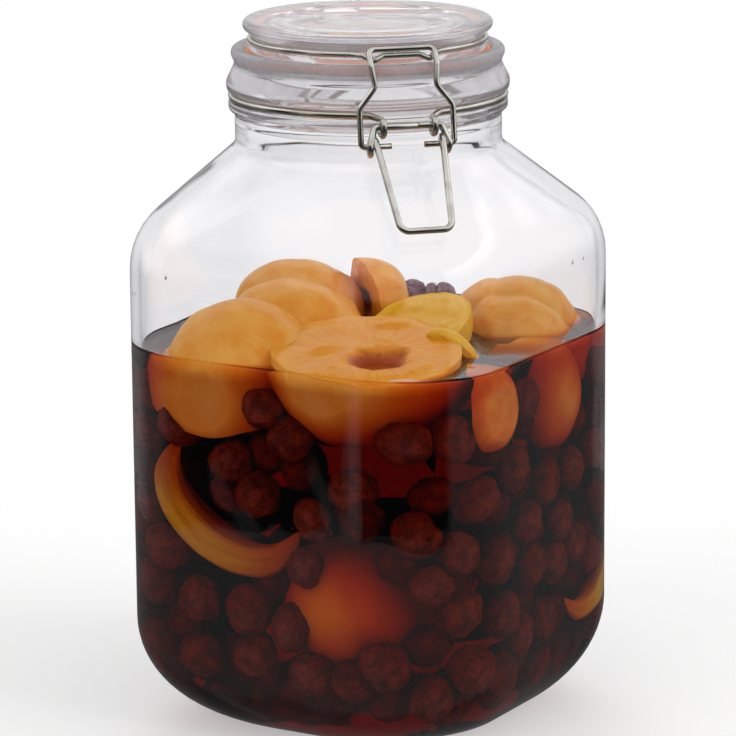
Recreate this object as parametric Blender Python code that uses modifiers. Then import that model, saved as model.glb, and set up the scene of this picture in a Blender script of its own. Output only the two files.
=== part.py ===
"""Swing-top canning jar of about five litres, standing on its base, with fruit in syrup inside.

Metres, +Z up. The origin is the middle of the base. The clasp is at the front (-Y), over one of the
four upright corners of the square body, and the lid hangs on the opposite corner at the back (+Y).
"""

import math

import bmesh
import bpy
from mathutils import Matrix, Vector

# Clearances: between pieces that touch, and round a wire that turns on another wire
GAP = 0.0003
WIRE_PLAY = 0.0003

# Body of the jar
BODY_HALF = 0.084  # middle to a flat side
BODY_CORNER = 0.046  # radius of the upright corners
FOOT_RADIUS = 0.052  # the round foot that the square body grows out of
FOOT_WIDTH = 0.008
PUSH_UP = 0.003  # hollow under the base
PUSH_UP_CROWN = 0.3  # its flat middle, as a share of the foot's inside
PUSH_UP_EDGE = 0.7  # its height where it bends down to the foot, as a share of the hollow
HEEL_TOP = 0.042  # where the heel has become the upright side
WALL = 0.004
FLOOR = 0.008
FLOOR_CROWN = 0.002
FLOOR_CROWN_SHARE = 0.4  # the crown's flat middle, as a share of the foot's radius
SHOULDER_FOOT = 0.2032  # where the shoulder's slope would meet the side
SHOULDER_TOP = 0.2379  # and where it would meet the neck
SHOULDER_FILLET = 0.030
NECK_FILLET = 0.005

# Neck and finish, as radii and as heights above the shoulder
NECK_RADIUS = 0.0545
NECK_WALL = 0.005
GROOVE_RISE = 0.0201  # the neck wire's groove
BEAD_SWELL = 0.0034  # the large bead above the groove, past the neck
BEAD_RISE = 0.0255
LEDGE_RISE = 0.0321
LOW_BEAD_SWELL = 0.0026
LOW_BEAD_RISE = 0.0165
LOW_BEAD_FOOT = 0.0038  # from the low bead's middle down to where it leaves the neck
LOW_BEAD_EDGE = 0.0010
LOW_BEAD_DRAFT = 0.0003
GROOVE_LEAD = 0.36  # the grooves' slanted sides, as shares of their half height
GROOVE_FLOOR = 0.42
BEAD_SHELF = 0.0012  # the large bead's flat lower side
BEAD_CROWN = 0.0005
LEDGE_SWELL = 0.0004
LEDGE_HEIGHT = 0.0018
FLANGE_FOOT = 0.0012
FLANGE_SWELL = 0.0014
FLANGE_RISE = 0.0384
MOUTH_INSET = 0.0120  # from the neck's outside to the mouth's edge
MOUTH_DEPTH = 0.0085
SEAT_RISE = 0.0358  # the face that the gasket is pressed on
LIP_HEIGHT = 0.0039  # the lip round that face
LIP_ROUND = 0.0010  # how far the lip's two edges are drawn in from its flat top
SEAT_ROUND = 0.0006
BORE_DROP = 0.006  # from the neck wire's groove down to where the neck's bore is straight

# Gasket
GASKET_THICKNESS = 0.0024
GASKET_WIDTH = 0.0078
GASKET_ROUND = 0.0005

# Lid
LID_OVERHANG = 0.0085  # the lid's rim past the mouth's edge
LID_HEIGHT = 0.0123
LID_BAND_HEIGHT = 0.0028  # the plain band below the lid wire
RIM_ROLL = 0.0060  # height of the rolled rim
PLUG_DEPTH = 0.0045
PLUG_PLAY = 0.0012
PLUG_WIDTH = 0.0043
LID_THICKNESS = 0.0057
DISH_INSET = 0.0254  # from the lid's rim to the flat of the dish
DISH_EDGE_INSET = 0.0140
DISH_DEPTH = 0.0028
BAND_INSET = 0.0013  # the plain band, and then the wire's ring, in from the gasket's edge
RING_INSET = 0.0007
RIM_DRAFT = 0.0006  # how far the rim's top edge stands in from its widest point
RIM_SWELL = 0.0004
RIM_WAIST = 0.0030  # from the lid's top down to the widest point
RIM_SHELF = 0.0015
PLUG_DRAFT = 0.0004
PLUG_SLOPE = 1.4  # where the plug's inner slope meets the lid's underside, in plug widths

# Wires, as radii
NECK_WIRE = 0.00135
LID_WIRE = 0.00115
BAIL_WIRE = 0.0012
LEVER_WIRE = 0.00135

# Bends of the wires, as radii
HOOK_BACK_BEND = 0.0020
RING_END_BEND = 0.0030
HINGE_BEND = 0.0028
DIP_BEND = 0.0020
CATCH_BEND = 0.0015
BAIL_FOOT_BEND = 0.0018
BAIL_WAIST_BEND = 0.0045
BAIL_HEAD_BEND = 0.0030
BAIL_BAR_BEND = 0.0026
LEVER_BAR_BEND = 0.0016
GRIP_BEND = 0.0040

# Roundings of the glass, as radii
LOW_BEAD_BEND = 0.0012
BEAD_BEND = 0.0030
FLANGE_BEND = 0.0008
LOW_NECK_BEND = 0.0010
DISH_BEND = 0.004
RIM_TOP_BEND = 0.0022
RIM_SIDE_BEND = 0.0024
RIM_FOOT_BEND = 0.0006
PLUG_BEND = 0.0012
PLUG_FOOT_BEND = 0.003

# Clasp at the front: the pivot bar lies in the neck wire's two hooks
PIVOT_OFF = 0.0065  # pivot bar's distance from the neck's side
PIVOT_DROP = 0.0038  # below the neck wire's ring
HOOK_SPREAD = 0.0105
HOOK_DROP = 0.0004  # slack of the hook below the pivot bar
HOOK_TIP = 0.2  # the hook's cut end under the pivot bar's middle, as a share of the slack
HOOK_CLOSE = 60.0  # how far the hook closes over the pivot bar, in degrees
HOOK_BACK = 0.0015  # the hook's upper end, back from the pivot bar and under the ring
HOOK_BACK_DROP = 0.0010
HOOK_STEP = 0.0037  # from the hook sideways to where its wire has joined the ring
HOOK_STEP_IN = 0.0008
HOOK_LEAVE = 0.0065  # from the hook sideways to the ring's first free point
CRANK_LENGTH = 0.0077  # pivot bar to the bail's feet
LOOP_SPREAD = 0.0150  # middle of each crank loop
LOOP_LEAD = 0.0013  # half of what a loop moves sideways in one turn
LOOP_PLAY = 0.00055
LEVER_LENGTH = 0.0458
LEVER_HALF_WIDTH = 0.0104
LEVER_JOIN = 0.0041  # where the wire's two ends meet, to the right of the middle
LEVER_BAR_END = 0.0018  # the pivot bar past the hook
LOOP_START = 20.0  # where the crank meets its loop, in degrees above straight outward
GRIP_CLEARANCE = 0.0029  # between the closed lever's grip and the glass
BAIL_FOOT_END = 0.0068
BAIL_SHOULDER = 0.0191
BAIL_WAIST = 0.0124
BAIL_HEAD = 0.0135
BAIL_SHOULDER_RISE = 0.0036  # heights above the neck wire's groove
BAIL_WAIST_RISE = 0.0120
BAIL_HEAD_RISE = 0.0004  # above the lip
BAIL_SPRING = 0.0004
BAIL_CLEARANCE = 0.0006  # between the bail's waist and the large bead
DIP_SPREAD = 0.0115
DIP_DEPTH = 0.0018
CATCH_LEAD = 0.0032  # how far the catch stands out from the lid wire's ring
CATCH_HALF = 0.0075
DIP_STEP = 0.0035  # from the dip sideways to where the wire leaves the ring
DIP_STEP_IN = 0.0005
DIP_LEAD = 0.0012  # the dip stands out past the catch
DIP_LEAVE = 0.0075  # from the dip sideways to the ring's first free point

# Hinge at the back: the neck wire's raised bar and the lid wire's two eyes
HINGE_OFF = 0.0075  # the hinge's distance from the neck's side
HINGE_ABOVE_SEAT = 0.0023
HINGE_HALF_WIDTH = 0.0125
EYE_SPREAD = 0.0080
EYE_START = -155.0  # where the eye's cut end lies, in degrees above straight outward
EYE_ARM = 1.5  # the eye's arm comes off this many bend radii before the hinge
EYE_LEAVE = 0.0040
ARM_STEP_IN = 0.0003
BAR_LEAVE = 0.0045
BAR_STEP = 0.0008
BAR_STEP_IN = 0.0035
BAR_RISE = 0.0050

# Contents
SYRUP_LEVEL = 0.1575
CHERRY_RADIUS = 0.0100
PRESSED = 0.0008  # how far a fruit is flattened against the glass
PIT_RIM = 0.60  # width of the flesh round a pit hollow, as a share of the peach's radius
PIT_SLOPE = 0.12
PIT_DEPTH = 0.22
PIT_TILT = 50.0  # halves that lean further than this show their cut face, and so a pit hollow
SLICE_SPREAD = 45.0  # angle between a peach slice's two cut faces
SLICE_HOLLOW = 0.62  # the slice's hollow side, as a share of its radius

# Facets
CORNER_STEPS = 9  # ring points for each quarter of the body
TURN_STEPS = 4 * CORNER_STEPS
PEACH_FACETS = (12, 6)  # facets round a ball, and from its top to its bottom
CHERRY_FACETS = (6, 5)
HEEL_STEPS = 7
INNER_HEEL_STEPS = 5
FACET_DEPTH = 0.0002  # how far a facet may cut into the curve that it stands for
WIRE_SIDES = 8
SHARP_ANGLE = 50.0  # degrees between faces, past which an edge isn't shaded smooth

# Sizes that follow from the ones above
FRUIT_UNIT = BODY_HALF / 84  # a millimetre on this jar: the fruit is counted in these
FRUIT_RISE = SYRUP_LEVEL / 157  # the same for the heights of what lies deep in the syrup
MOUTH_RADIUS = NECK_RADIUS - MOUTH_INSET
PIVOT_REACH = NECK_RADIUS + PIVOT_OFF
HINGE_REACH = NECK_RADIUS + HINGE_OFF
LID_RIM = MOUTH_RADIUS + LID_OVERHANG
DISH_RADIUS = LID_RIM - DISH_INSET
DISH_EDGE = LID_RIM - DISH_EDGE_INSET
CORNER_CENTRE = (BODY_HALF - BODY_CORNER) * math.sqrt(2)
CORNER_REACH = CORNER_CENTRE + BODY_CORNER
SLOPE = (SHOULDER_TOP - SHOULDER_FOOT) / (CORNER_REACH - NECK_RADIUS)
GROOVE_Z = SHOULDER_TOP + GROOVE_RISE
GROOVE_REACH = NECK_RADIUS + NECK_WIRE
SEAT_Z = SHOULDER_TOP + SEAT_RISE
LIP_Z = SEAT_Z + LIP_HEIGHT
GASKET_INNER = MOUTH_RADIUS - GAP
GASKET_OUTER = GASKET_INNER + GASKET_WIDTH
LIP_INNER = GASKET_OUTER + GAP
LID_Z = SEAT_Z + GAP + GASKET_THICKNESS + GAP
LID_WIRE_Z = LID_Z + LID_BAND_HEIGHT + GAP + LID_WIRE
LID_BAND = GASKET_OUTER - BAND_INSET
LID_WIRE_REACH = LID_BAND - RING_INSET
CATCH_REACH = LID_WIRE_REACH + CATCH_LEAD
LID_TOP = LID_Z + LID_HEIGHT
PLUG_RADIUS = MOUTH_RADIUS - PLUG_PLAY
PIVOT_Z = GROOVE_Z - PIVOT_DROP
BAIL_FOOT_Z = PIVOT_Z - CRANK_LENGTH
BAIL_FOOT_SPREAD = LOOP_SPREAD + LOOP_LEAD + LEVER_WIRE + GAP + BAIL_WIRE
BAIL_BAR_Z = LID_WIRE_Z + LID_WIRE + GAP + BAIL_WIRE
HOOK_BEND = NECK_WIRE + WIRE_PLAY + LEVER_WIRE
LOOP_BEND = LEVER_WIRE + LOOP_PLAY + BAIL_WIRE
HINGE_Z = SEAT_Z + HINGE_ABOVE_SEAT
EYE_BEND = NECK_WIRE + WIRE_PLAY + LID_WIRE

# Peach halves that lie in the top of the syrup: place of the cut face's middle, with its height
# counted from the syrup's level, and radius, in fruit units of a millimetre, then how far the dome
# leans from straight up and to which bearing, in degrees.
FLOATING = {
    "peach_pit_up": (-14, -51, 3, 38, 171, 165),
    "peach_left": (-57, -13, -12, 33, 30, -45),
    "peach_middle": (-30, 13, -7, 30, 22, -40),
    "peach_back_left": (-20, 39, 2, 26, 12, 0),
    "peach_back": (7, 31, 9, 19, 80, 95),
    "peach_flesh_up": (18, -12, 5, 24, 160, 120),
    "peach_right": (62, -3, -8, 21, 35, 60),
    "peach_back_right": (67, 16, -8, 26, 25, 90),
    "peach_side_front": (23, -72, -17, 17, 85, 70),
}

# Peach halves deeper in the syrup: bearing in degrees from the clasp, height in fruit rises, radius
# and distance from the glass in fruit units, then the lean and the bearing of the dome as above.
SUNK = {
    "peach_side_back": (64, 134, 22, 0, 88, 45),
    "peach_low_front": (-20, 58, 28, 10, 85, -15),
}

# Peach slices against the glass: bearing, height and radius in the same units, then the lean of the
# skin's middle from straight up and the bearing that it leans to.
SLICES = {
    "peach_low_left": (-60, 110, 40, 150, -135),
    "peach_low_right": (74, 64, 27, 141, 135),
}

# Cherries against the glass: bearing and height, in degrees and fruit rises
CHERRIES = {
    "cherry_a": (-63, 117),
    "cherry_b": (-40, 129),
    "cherry_c": (-19, 111),
    "cherry_d": (-3, 94),
    "cherry_e": (14, 105),
    "cherry_f": (30, 113),
    "cherry_g": (69, 102),
    "cherry_h": (52, 101),
    "cherry_i": (21, 77),
    "cherry_j": (42, 69),
    "cherry_k": (-11, 40),
    "cherry_l": (-53, 104),
    "cherry_m": (39, 88),
    "cherry_n": (24, 54),
    "cherry_o": (50, 44),
    "cherry_p": (8, 60),
    "cherry_q": (-33, 33),
    "cherry_r": (-55, 37),
    "cherry_s": (-74, 57),
    "cherry_t": (12, 36),
    "cherry_u": (-90, 59),
    "cherry_v": (96, 118),
    "cherry_w": (102, 88),
    "cherry_x": (122, 126),
    "cherry_y": (104, 44),
    "cherry_z": (135, 62),
    "cherry_ba": (144, 98),
    "cherry_bb": (166, 132),
    "cherry_bc": (172, 74),
    "cherry_bd": (194, 110),
    "cherry_be": (206, 52),
    "cherry_bf": (216, 88),
    "cherry_bg": (226, 132),
    "cherry_bh": (242, 66),
    "cherry_bi": (250, 106),
}


def new_collection(name):
    collection = bpy.data.collections.new(name)
    bpy.context.scene.collection.children.link(collection)
    return collection


def make_material(name, colour, roughness, metallic=0.0, transmission=0.0, ior=1.5):
    material = bpy.data.materials.new(name)
    material.use_nodes = True
    shader = material.node_tree.nodes["Principled BSDF"]
    shader.inputs["Base Color"].default_value = (*colour, 1.0)
    shader.inputs["Roughness"].default_value = roughness
    shader.inputs["Metallic"].default_value = metallic
    shader.inputs["Transmission Weight"].default_value = transmission
    shader.inputs["IOR"].default_value = ior
    return material


def add_object(name, data, collection, material=None):
    item = bpy.data.objects.new(name, data)
    collection.objects.link(item)
    if material is not None:
        data.materials.append(material)
    return item


def mesh_from(name, shape):
    """Turns a finished bmesh into a mesh with its faces outward and its curves shaded smooth."""
    bmesh.ops.recalc_face_normals(shape, faces=shape.faces[:])
    mesh = bpy.data.meshes.new(name)
    shape.to_mesh(mesh)
    shape.free()
    mesh.shade_smooth()
    mesh.set_sharp_from_angle(angle=math.radians(SHARP_ANGLE))
    return mesh


def front(x, reach, z):
    """A point on the clasp's side of the jar, given its distance in front of the axis."""
    return Vector((x, -reach, z))


def rear(x, reach, z):
    return Vector((x, reach, z))


def towards(bearing):
    """Level direction at a bearing, counted in degrees from the clasp towards +X."""
    angle = math.radians(bearing)
    return Vector((math.sin(angle), -math.cos(angle), 0.0))


def facet_count(radius, turn):
    """Facets that an arc needs, given its radius and how far it turns in radians."""
    facet = 2 * math.acos(1 - min(FACET_DEPTH / radius, 0.3))
    return max(1, math.ceil(abs(turn) / facet))


def rounded(corners):
    """Path through corner points (point, radius), with each corner turned into an arc."""
    path = [corners[0][0]]
    for (before, _), (corner, radius), (after, _) in zip(corners, corners[1:], corners[2:]):
        into = (corner - before).normalized()
        away = (after - corner).normalized()
        turn = into.angle(away, 0.0)
        if radius <= 0.0 or turn < 0.01:
            path.append(corner)
            continue
        cut = radius * math.tan(turn / 2)
        centre = corner + (away - into).normalized() * (radius / math.cos(turn / 2))
        start = corner - into * cut - centre
        axis = into.cross(away).normalized()
        count = facet_count(radius, turn)
        for step in range(count + 1):
            path.append(centre + Matrix.Rotation(turn * step / count, 3, axis) @ start)
    path.append(corners[-1][0])
    return path


def outline(corners):
    """The same in a flat outline: corners as (reach, height, radius), path as (reach, height)."""
    path = rounded([(Vector((reach, 0.0, z)), radius) for reach, z, radius in corners])
    return [(point.x, point.z) for point in path]


def turned(name, profile, collection, material):
    """Solid of revolution about the jar's axis, from a profile that runs down its outer side."""
    mesh = bpy.data.meshes.new(name)
    closed = profile[0][0] > 0.0
    points = [(reach, 0.0, z) for reach, z in profile]
    edges = [(i, i + 1) for i in range(len(points) - 1)]
    if closed:
        edges.append((len(points) - 1, 0))
    mesh.from_pydata(points, edges, [])
    item = add_object(name, mesh, collection, material)
    screw = item.modifiers.new("Turn", "SCREW")
    screw.steps = TURN_STEPS
    screw.render_steps = TURN_STEPS
    screw.use_merge_vertices = True
    screw.merge_threshold = 0.00001
    screw.use_smooth_shade = True
    return item


def ring_points(shape, centre, radius, z):
    """One level ring: four corner arcs about centres that lie on the X and Y axes."""
    points = []
    for quarter in range(4):
        for step in range(CORNER_STEPS):
            spread = (step + 0.5) / CORNER_STEPS - 0.5
            bearing = 90.0 * (quarter + spread)
            place = towards(90.0 * quarter) * centre + towards(bearing) * radius
            points.append(shape.verts.new((place.x, place.y, z)))
    return points


def corner_centre(reach, round_reach):
    """How far out the corner arcs' centres lie where the section has grown to this reach."""
    share = (reach - round_reach) / (CORNER_REACH - round_reach)
    return CORNER_CENTRE * min(max(share, 0.0), 1.0)


def lofted(name, sections, collection, material):
    """Closed solid through sections (arc centre, arc radius, height) between two end middles."""
    shape = bmesh.new()
    rings = [ring_points(shape, *section) for section in sections]
    for lower, upper in zip(rings, rings[1:]):
        for i in range(TURN_STEPS):
            j = (i + 1) % TURN_STEPS
            shape.faces.new((lower[i], lower[j], upper[j], upper[i]))
    for ring, section in ((rings[0], sections[0]), (rings[-1], sections[-1])):
        middle = shape.verts.new((0.0, 0.0, section[2]))
        for i in range(TURN_STEPS):
            shape.faces.new((ring[i], ring[(i + 1) % TURN_STEPS], middle))
    return add_object(name, mesh_from(name, shape), collection, material)


def heel_arc(foot, side, low, high, steps):
    """Quarter of an ellipse from the foot out to the upright side."""
    arc = []
    for step in range(steps + 1):
        angle = math.radians(90.0) * step / steps
        arc.append((foot + (side - foot) * math.sin(angle), low + (high - low) * (1 - math.cos(angle))))
    return arc


def outside_sections():
    """The jar's outer surface, from the middle of the base up to the lip's top."""
    bead = NECK_RADIUS + BEAD_SWELL
    low_bead = NECK_RADIUS + LOW_BEAD_SWELL
    flange = NECK_RADIUS + FLANGE_SWELL
    groove = GROOVE_REACH - NECK_WIRE - GAP
    groove_half = NECK_WIRE + GAP
    inner_foot = FOOT_RADIUS - FOOT_WIDTH
    base = [
        (PUSH_UP_CROWN * inner_foot, PUSH_UP),
        (inner_foot - PUSH_UP, PUSH_UP_EDGE * PUSH_UP),
        (inner_foot, 0.0),
    ]
    heel = heel_arc(FOOT_RADIUS, CORNER_REACH, 0.0, HEEL_TOP, HEEL_STEPS)
    rise = outline(
        [
            (CORNER_REACH, HEEL_TOP, 0.0),
            (CORNER_REACH, SHOULDER_FOOT, SHOULDER_FILLET),
            (NECK_RADIUS, SHOULDER_TOP, NECK_FILLET),
            (NECK_RADIUS, SHOULDER_TOP + LOW_BEAD_RISE - LOW_BEAD_FOOT, LOW_NECK_BEND),
            (low_bead, SHOULDER_TOP + LOW_BEAD_RISE - LOW_BEAD_EDGE, LOW_BEAD_BEND),
            (low_bead - LOW_BEAD_DRAFT, GROOVE_Z - groove_half, 0.0),
            (GROOVE_REACH - GROOVE_LEAD * groove_half, GROOVE_Z - groove_half, 0.0),
            (groove, GROOVE_Z - GROOVE_FLOOR * groove_half, 0.0),
            (groove, GROOVE_Z + GROOVE_FLOOR * groove_half, 0.0),
            (GROOVE_REACH - GROOVE_LEAD * groove_half, GROOVE_Z + groove_half, 0.0),
            (bead - BEAD_SHELF, GROOVE_Z + groove_half, 0.0),
            (bead + BEAD_CROWN, SHOULDER_TOP + BEAD_RISE, BEAD_BEND),
            (NECK_RADIUS + LEDGE_SWELL, SHOULDER_TOP + LEDGE_RISE, 0.0),
            (NECK_RADIUS, SHOULDER_TOP + LEDGE_RISE + LEDGE_HEIGHT, 0.0),
            (flange, SHOULDER_TOP + FLANGE_RISE - FLANGE_FOOT, FLANGE_BEND),
            (flange, LIP_Z - LIP_ROUND, 0.0),
            (flange - LIP_ROUND, LIP_Z, 0.0),
            (LIP_INNER + LIP_ROUND, LIP_Z, 0.0),
        ]
    )
    path = base + heel + rise[1:]
    sections = []
    for reach, z in path:
        centre = corner_centre(reach, FOOT_RADIUS if z < HEEL_TOP else NECK_RADIUS)
        sections.append((centre, reach - centre, z))
    return sections


def inside_sections(gap, top):
    """The hollow from the neck's height or below down to the floor, drawn in by a gap."""
    neck = NECK_RADIUS - NECK_WALL
    side = CORNER_REACH - WALL
    drop = WALL * (math.sqrt(1 + SLOPE * SLOPE) - SLOPE)
    slope_gap = gap * (math.sqrt(1 + SLOPE * SLOPE) - SLOPE)
    path = outline(
        [
            (neck - gap, top, 0.0),
            (neck - gap, SHOULDER_TOP - drop - slope_gap, NECK_FILLET),
            (side - gap, SHOULDER_FOOT - drop - slope_gap, SHOULDER_FILLET - WALL),
            (side - gap, HEEL_TOP, 0.0),
        ]
    )
    foot = FOOT_RADIUS - WALL / 2 - gap
    heel = heel_arc(foot, side - gap, FLOOR + gap, HEEL_TOP + gap, INNER_HEEL_STEPS)
    path = path[:-1] + heel[::-1]
    path.append((FLOOR_CROWN_SHARE * FOOT_RADIUS, FLOOR + FLOOR_CROWN + gap))
    sections = []
    for reach, z in path:
        grown = reach + WALL + gap
        low = z < HEEL_TOP + gap
        centre = corner_centre(grown, FOOT_RADIUS + WALL / 2 if low else NECK_RADIUS + WALL - NECK_WALL)
        sections.append((centre, reach - centre, z))
    return sections


def make_jar_body(parts):
    glass = make_material("jar glass", (0.93, 0.95, 0.95), 0.03, transmission=1.0, ior=1.5)
    mouth = outline(
        [
            (LIP_INNER + LIP_ROUND, LIP_Z, 0.0),
            (LIP_INNER, LIP_Z - LIP_ROUND, 0.0),
            (LIP_INNER, SEAT_Z, 0.0),
            (MOUTH_RADIUS + SEAT_ROUND, SEAT_Z, 0.0),
            (MOUTH_RADIUS, SEAT_Z - SEAT_ROUND, 0.0),
            (MOUTH_RADIUS, SEAT_Z - MOUTH_DEPTH, 0.0),
            (NECK_RADIUS - NECK_WALL, GROOVE_Z - BORE_DROP, 0.0),
        ]
    )
    inside = inside_sections(0.0, GROOVE_Z - BORE_DROP)
    sections = outside_sections() + [(0.0, reach, z) for reach, z in mouth[1:-1]] + inside
    return lofted("jar_body", sections, parts, glass)


def make_gasket(parts):
    rubber = make_material("gasket rubber", (0.75, 0.22, 0.06), 0.45)
    low = SEAT_Z + GAP
    high = low + GASKET_THICKNESS
    profile = outline(
        [
            (GASKET_INNER + GASKET_ROUND, high, 0.0),
            (GASKET_OUTER - GASKET_ROUND, high, 0.0),
            (GASKET_OUTER, high - GASKET_ROUND, 0.0),
            (GASKET_OUTER, low + GASKET_ROUND, 0.0),
            (GASKET_OUTER - GASKET_ROUND, low, 0.0),
            (GASKET_INNER + GASKET_ROUND, low, 0.0),
            (GASKET_INNER, (low + high) / 2, 0.0),
        ]
    )
    return turned("gasket", profile, parts, rubber)


def make_lid_glass(parts):
    glass = make_material("lid glass", (0.93, 0.95, 0.95), 0.03, transmission=1.0, ior=1.5)
    groove = LID_WIRE_REACH - LID_WIRE - GAP
    groove_half = LID_WIRE + GAP
    rim_low = LID_TOP - RIM_ROLL
    under = LID_TOP - DISH_DEPTH - LID_THICKNESS
    plug_low = LID_Z - PLUG_DEPTH
    profile = outline(
        [
            (0.0, LID_TOP - DISH_DEPTH, 0.0),
            (DISH_RADIUS, LID_TOP - DISH_DEPTH, DISH_BEND),
            (DISH_EDGE, LID_TOP, DISH_BEND),
            (LID_RIM - RIM_DRAFT, LID_TOP, RIM_TOP_BEND),
            (LID_RIM + RIM_SWELL, LID_TOP - RIM_WAIST, RIM_SIDE_BEND),
            (groove + RIM_SHELF, rim_low, RIM_FOOT_BEND),
            (groove, LID_WIRE_Z + GROOVE_FLOOR * groove_half, 0.0),
            (groove, LID_WIRE_Z - GROOVE_FLOOR * groove_half, 0.0),
            (LID_WIRE_REACH - GROOVE_LEAD * groove_half, LID_Z + LID_BAND_HEIGHT, 0.0),
            (LID_BAND, LID_Z + LID_BAND_HEIGHT, 0.0),
            (LID_BAND, LID_Z, 0.0),
            (PLUG_RADIUS + PLUG_DRAFT, LID_Z, 0.0),
            (PLUG_RADIUS, plug_low, PLUG_BEND),
            (PLUG_RADIUS - PLUG_WIDTH, plug_low, PLUG_BEND),
            (PLUG_RADIUS - PLUG_SLOPE * PLUG_WIDTH, under, PLUG_FOOT_BEND),
            (0.0, under, 0.0),
        ]
    )
    return turned("lid_glass", profile, parts, glass)


def make_wire(name, path, radius, collection, material):
    """A wire bent along a path, with flat cut ends."""
    curve = bpy.data.curves.new(name, "CURVE")
    curve.dimensions = "3D"
    curve.bevel_depth = radius
    curve.bevel_resolution = WIRE_SIDES // 2 - 2
    curve.use_fill_caps = True
    spline = curve.splines.new("POLY")
    spline.points.add(len(path) - 1)
    for point, place in zip(spline.points, path):
        point.co = (*place, 1.0)
    return add_object(name, curve, collection, material)


def arc_between(radius, z, start, end):
    """Corner points of a level ring from one bearing to another, without the two ends."""
    count = facet_count(radius, math.radians(end - start))
    bearings = [start + (end - start) * step / count for step in range(count + 1)]
    return [(towards(bearing) * radius + Vector((0.0, 0.0, z)), 0.0) for bearing in bearings]


def mirrored(corners):
    """The same corner points on the other side of the clasp, in the opposite order."""
    return [(Vector((-point.x, point.y, point.z)), radius) for point, radius in reversed(corners)]


def circle_of(x, centre, z, radius, start, end, place, lead=0.0):
    """Points about a cross bar: angles from straight outward (0) to straight up (90)."""
    count = facet_count(radius, math.radians(end - start))
    points = []
    for step in range(count + 1):
        share = step / count
        angle = math.radians(start + (end - start) * share)
        reach = centre + radius * math.cos(angle)
        points.append((place(x + lead * share, reach, z + radius * math.sin(angle)), 0.0))
    return points


def neck_wire_path():
    """Hook, half of the ring and half of the raised bar, then the same mirrored."""
    low_z = PIVOT_Z - HOOK_DROP
    hook = [(front(-HOOK_SPREAD, PIVOT_REACH - HOOK_BEND, PIVOT_Z - HOOK_TIP * HOOK_DROP), 0.0)]
    hook += circle_of(-HOOK_SPREAD, PIVOT_REACH, low_z, HOOK_BEND, 180, 360, front)
    hook += circle_of(-HOOK_SPREAD, PIVOT_REACH, PIVOT_Z, HOOK_BEND, 0, HOOK_CLOSE, front)
    leave = math.degrees(math.asin((HOOK_SPREAD + HOOK_LEAVE) / GROOVE_REACH))
    back = front(-HOOK_SPREAD, PIVOT_REACH - HOOK_BACK, GROOVE_Z - HOOK_BACK_DROP)
    joined = front(-HOOK_SPREAD - HOOK_STEP, GROOVE_REACH - HOOK_STEP_IN, GROOVE_Z)
    hook += [(back, HOOK_BACK_BEND), (joined, RING_END_BEND)]
    inner = math.degrees(math.asin((HINGE_HALF_WIDTH + BAR_LEAVE) / GROOVE_REACH))
    ring = arc_between(GROOVE_REACH, GROOVE_Z, -leave, -180 + inner)
    bar = [
        (rear(-HINGE_HALF_WIDTH - BAR_STEP, HINGE_REACH - BAR_STEP_IN, GROOVE_Z), RING_END_BEND),
        (rear(-HINGE_HALF_WIDTH, HINGE_REACH, GROOVE_Z + BAR_RISE), RING_END_BEND),
        (rear(-HINGE_HALF_WIDTH, HINGE_REACH, HINGE_Z), HINGE_BEND),
    ]
    half = hook + ring + bar
    return rounded(half + mirrored(half))


def lid_wire_path():
    """Dips and catch at the front, the ring in the lid's groove, an eye at each end."""
    leave = math.degrees(math.asin((DIP_SPREAD + DIP_LEAVE) / LID_WIRE_REACH))
    inner = math.degrees(math.asin((EYE_SPREAD + EYE_LEAVE) / LID_WIRE_REACH))
    eye = circle_of(-EYE_SPREAD, HINGE_REACH, HINGE_Z, EYE_BEND, EYE_START, 90, rear)
    arm = [
        (rear(-EYE_SPREAD, HINGE_REACH - EYE_ARM * EYE_BEND, LID_WIRE_Z), RING_END_BEND),
        (rear(-EYE_SPREAD, LID_WIRE_REACH - ARM_STEP_IN, LID_WIRE_Z), RING_END_BEND),
    ]
    ring = arc_between(LID_WIRE_REACH, LID_WIRE_Z, -180 + inner, -leave)
    catch = [
        (front(-DIP_SPREAD - DIP_STEP, LID_WIRE_REACH - DIP_STEP_IN, LID_WIRE_Z), DIP_BEND),
        (front(-DIP_SPREAD, CATCH_REACH + DIP_LEAD, LID_WIRE_Z - DIP_DEPTH), CATCH_BEND),
        (front(-CATCH_HALF, CATCH_REACH, LID_WIRE_Z), CATCH_BEND),
    ]
    half = eye + arm + ring + catch
    return rounded(half + mirrored(half))


def bail_path():
    """One foot, up past the bead and the flange, across over the catch and down again."""
    bead = math.sqrt((NECK_RADIUS + BEAD_SWELL)**2 - BAIL_WAIST**2)
    flange = math.sqrt((NECK_RADIUS + FLANGE_SWELL)**2 - BAIL_HEAD**2)
    off = BAIL_WIRE + BAIL_CLEARANCE
    half = [
        (front(-BAIL_FOOT_END, PIVOT_REACH, BAIL_FOOT_Z), 0.0),
        (front(-BAIL_FOOT_SPREAD, PIVOT_REACH, BAIL_FOOT_Z), BAIL_FOOT_BEND),
        (front(-BAIL_SHOULDER, bead + off + BAIL_SPRING, GROOVE_Z + BAIL_SHOULDER_RISE), BAIL_WAIST_BEND),
        (front(-BAIL_WAIST, bead + off, GROOVE_Z + BAIL_WAIST_RISE), BAIL_WAIST_BEND),
        (front(-BAIL_HEAD, flange + off, LIP_Z + BAIL_HEAD_RISE), BAIL_HEAD_BEND),
        (front(-BAIL_HEAD, CATCH_REACH, BAIL_BAR_Z), BAIL_BAR_BEND),
    ]
    return rounded(half + mirrored(half))


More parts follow.
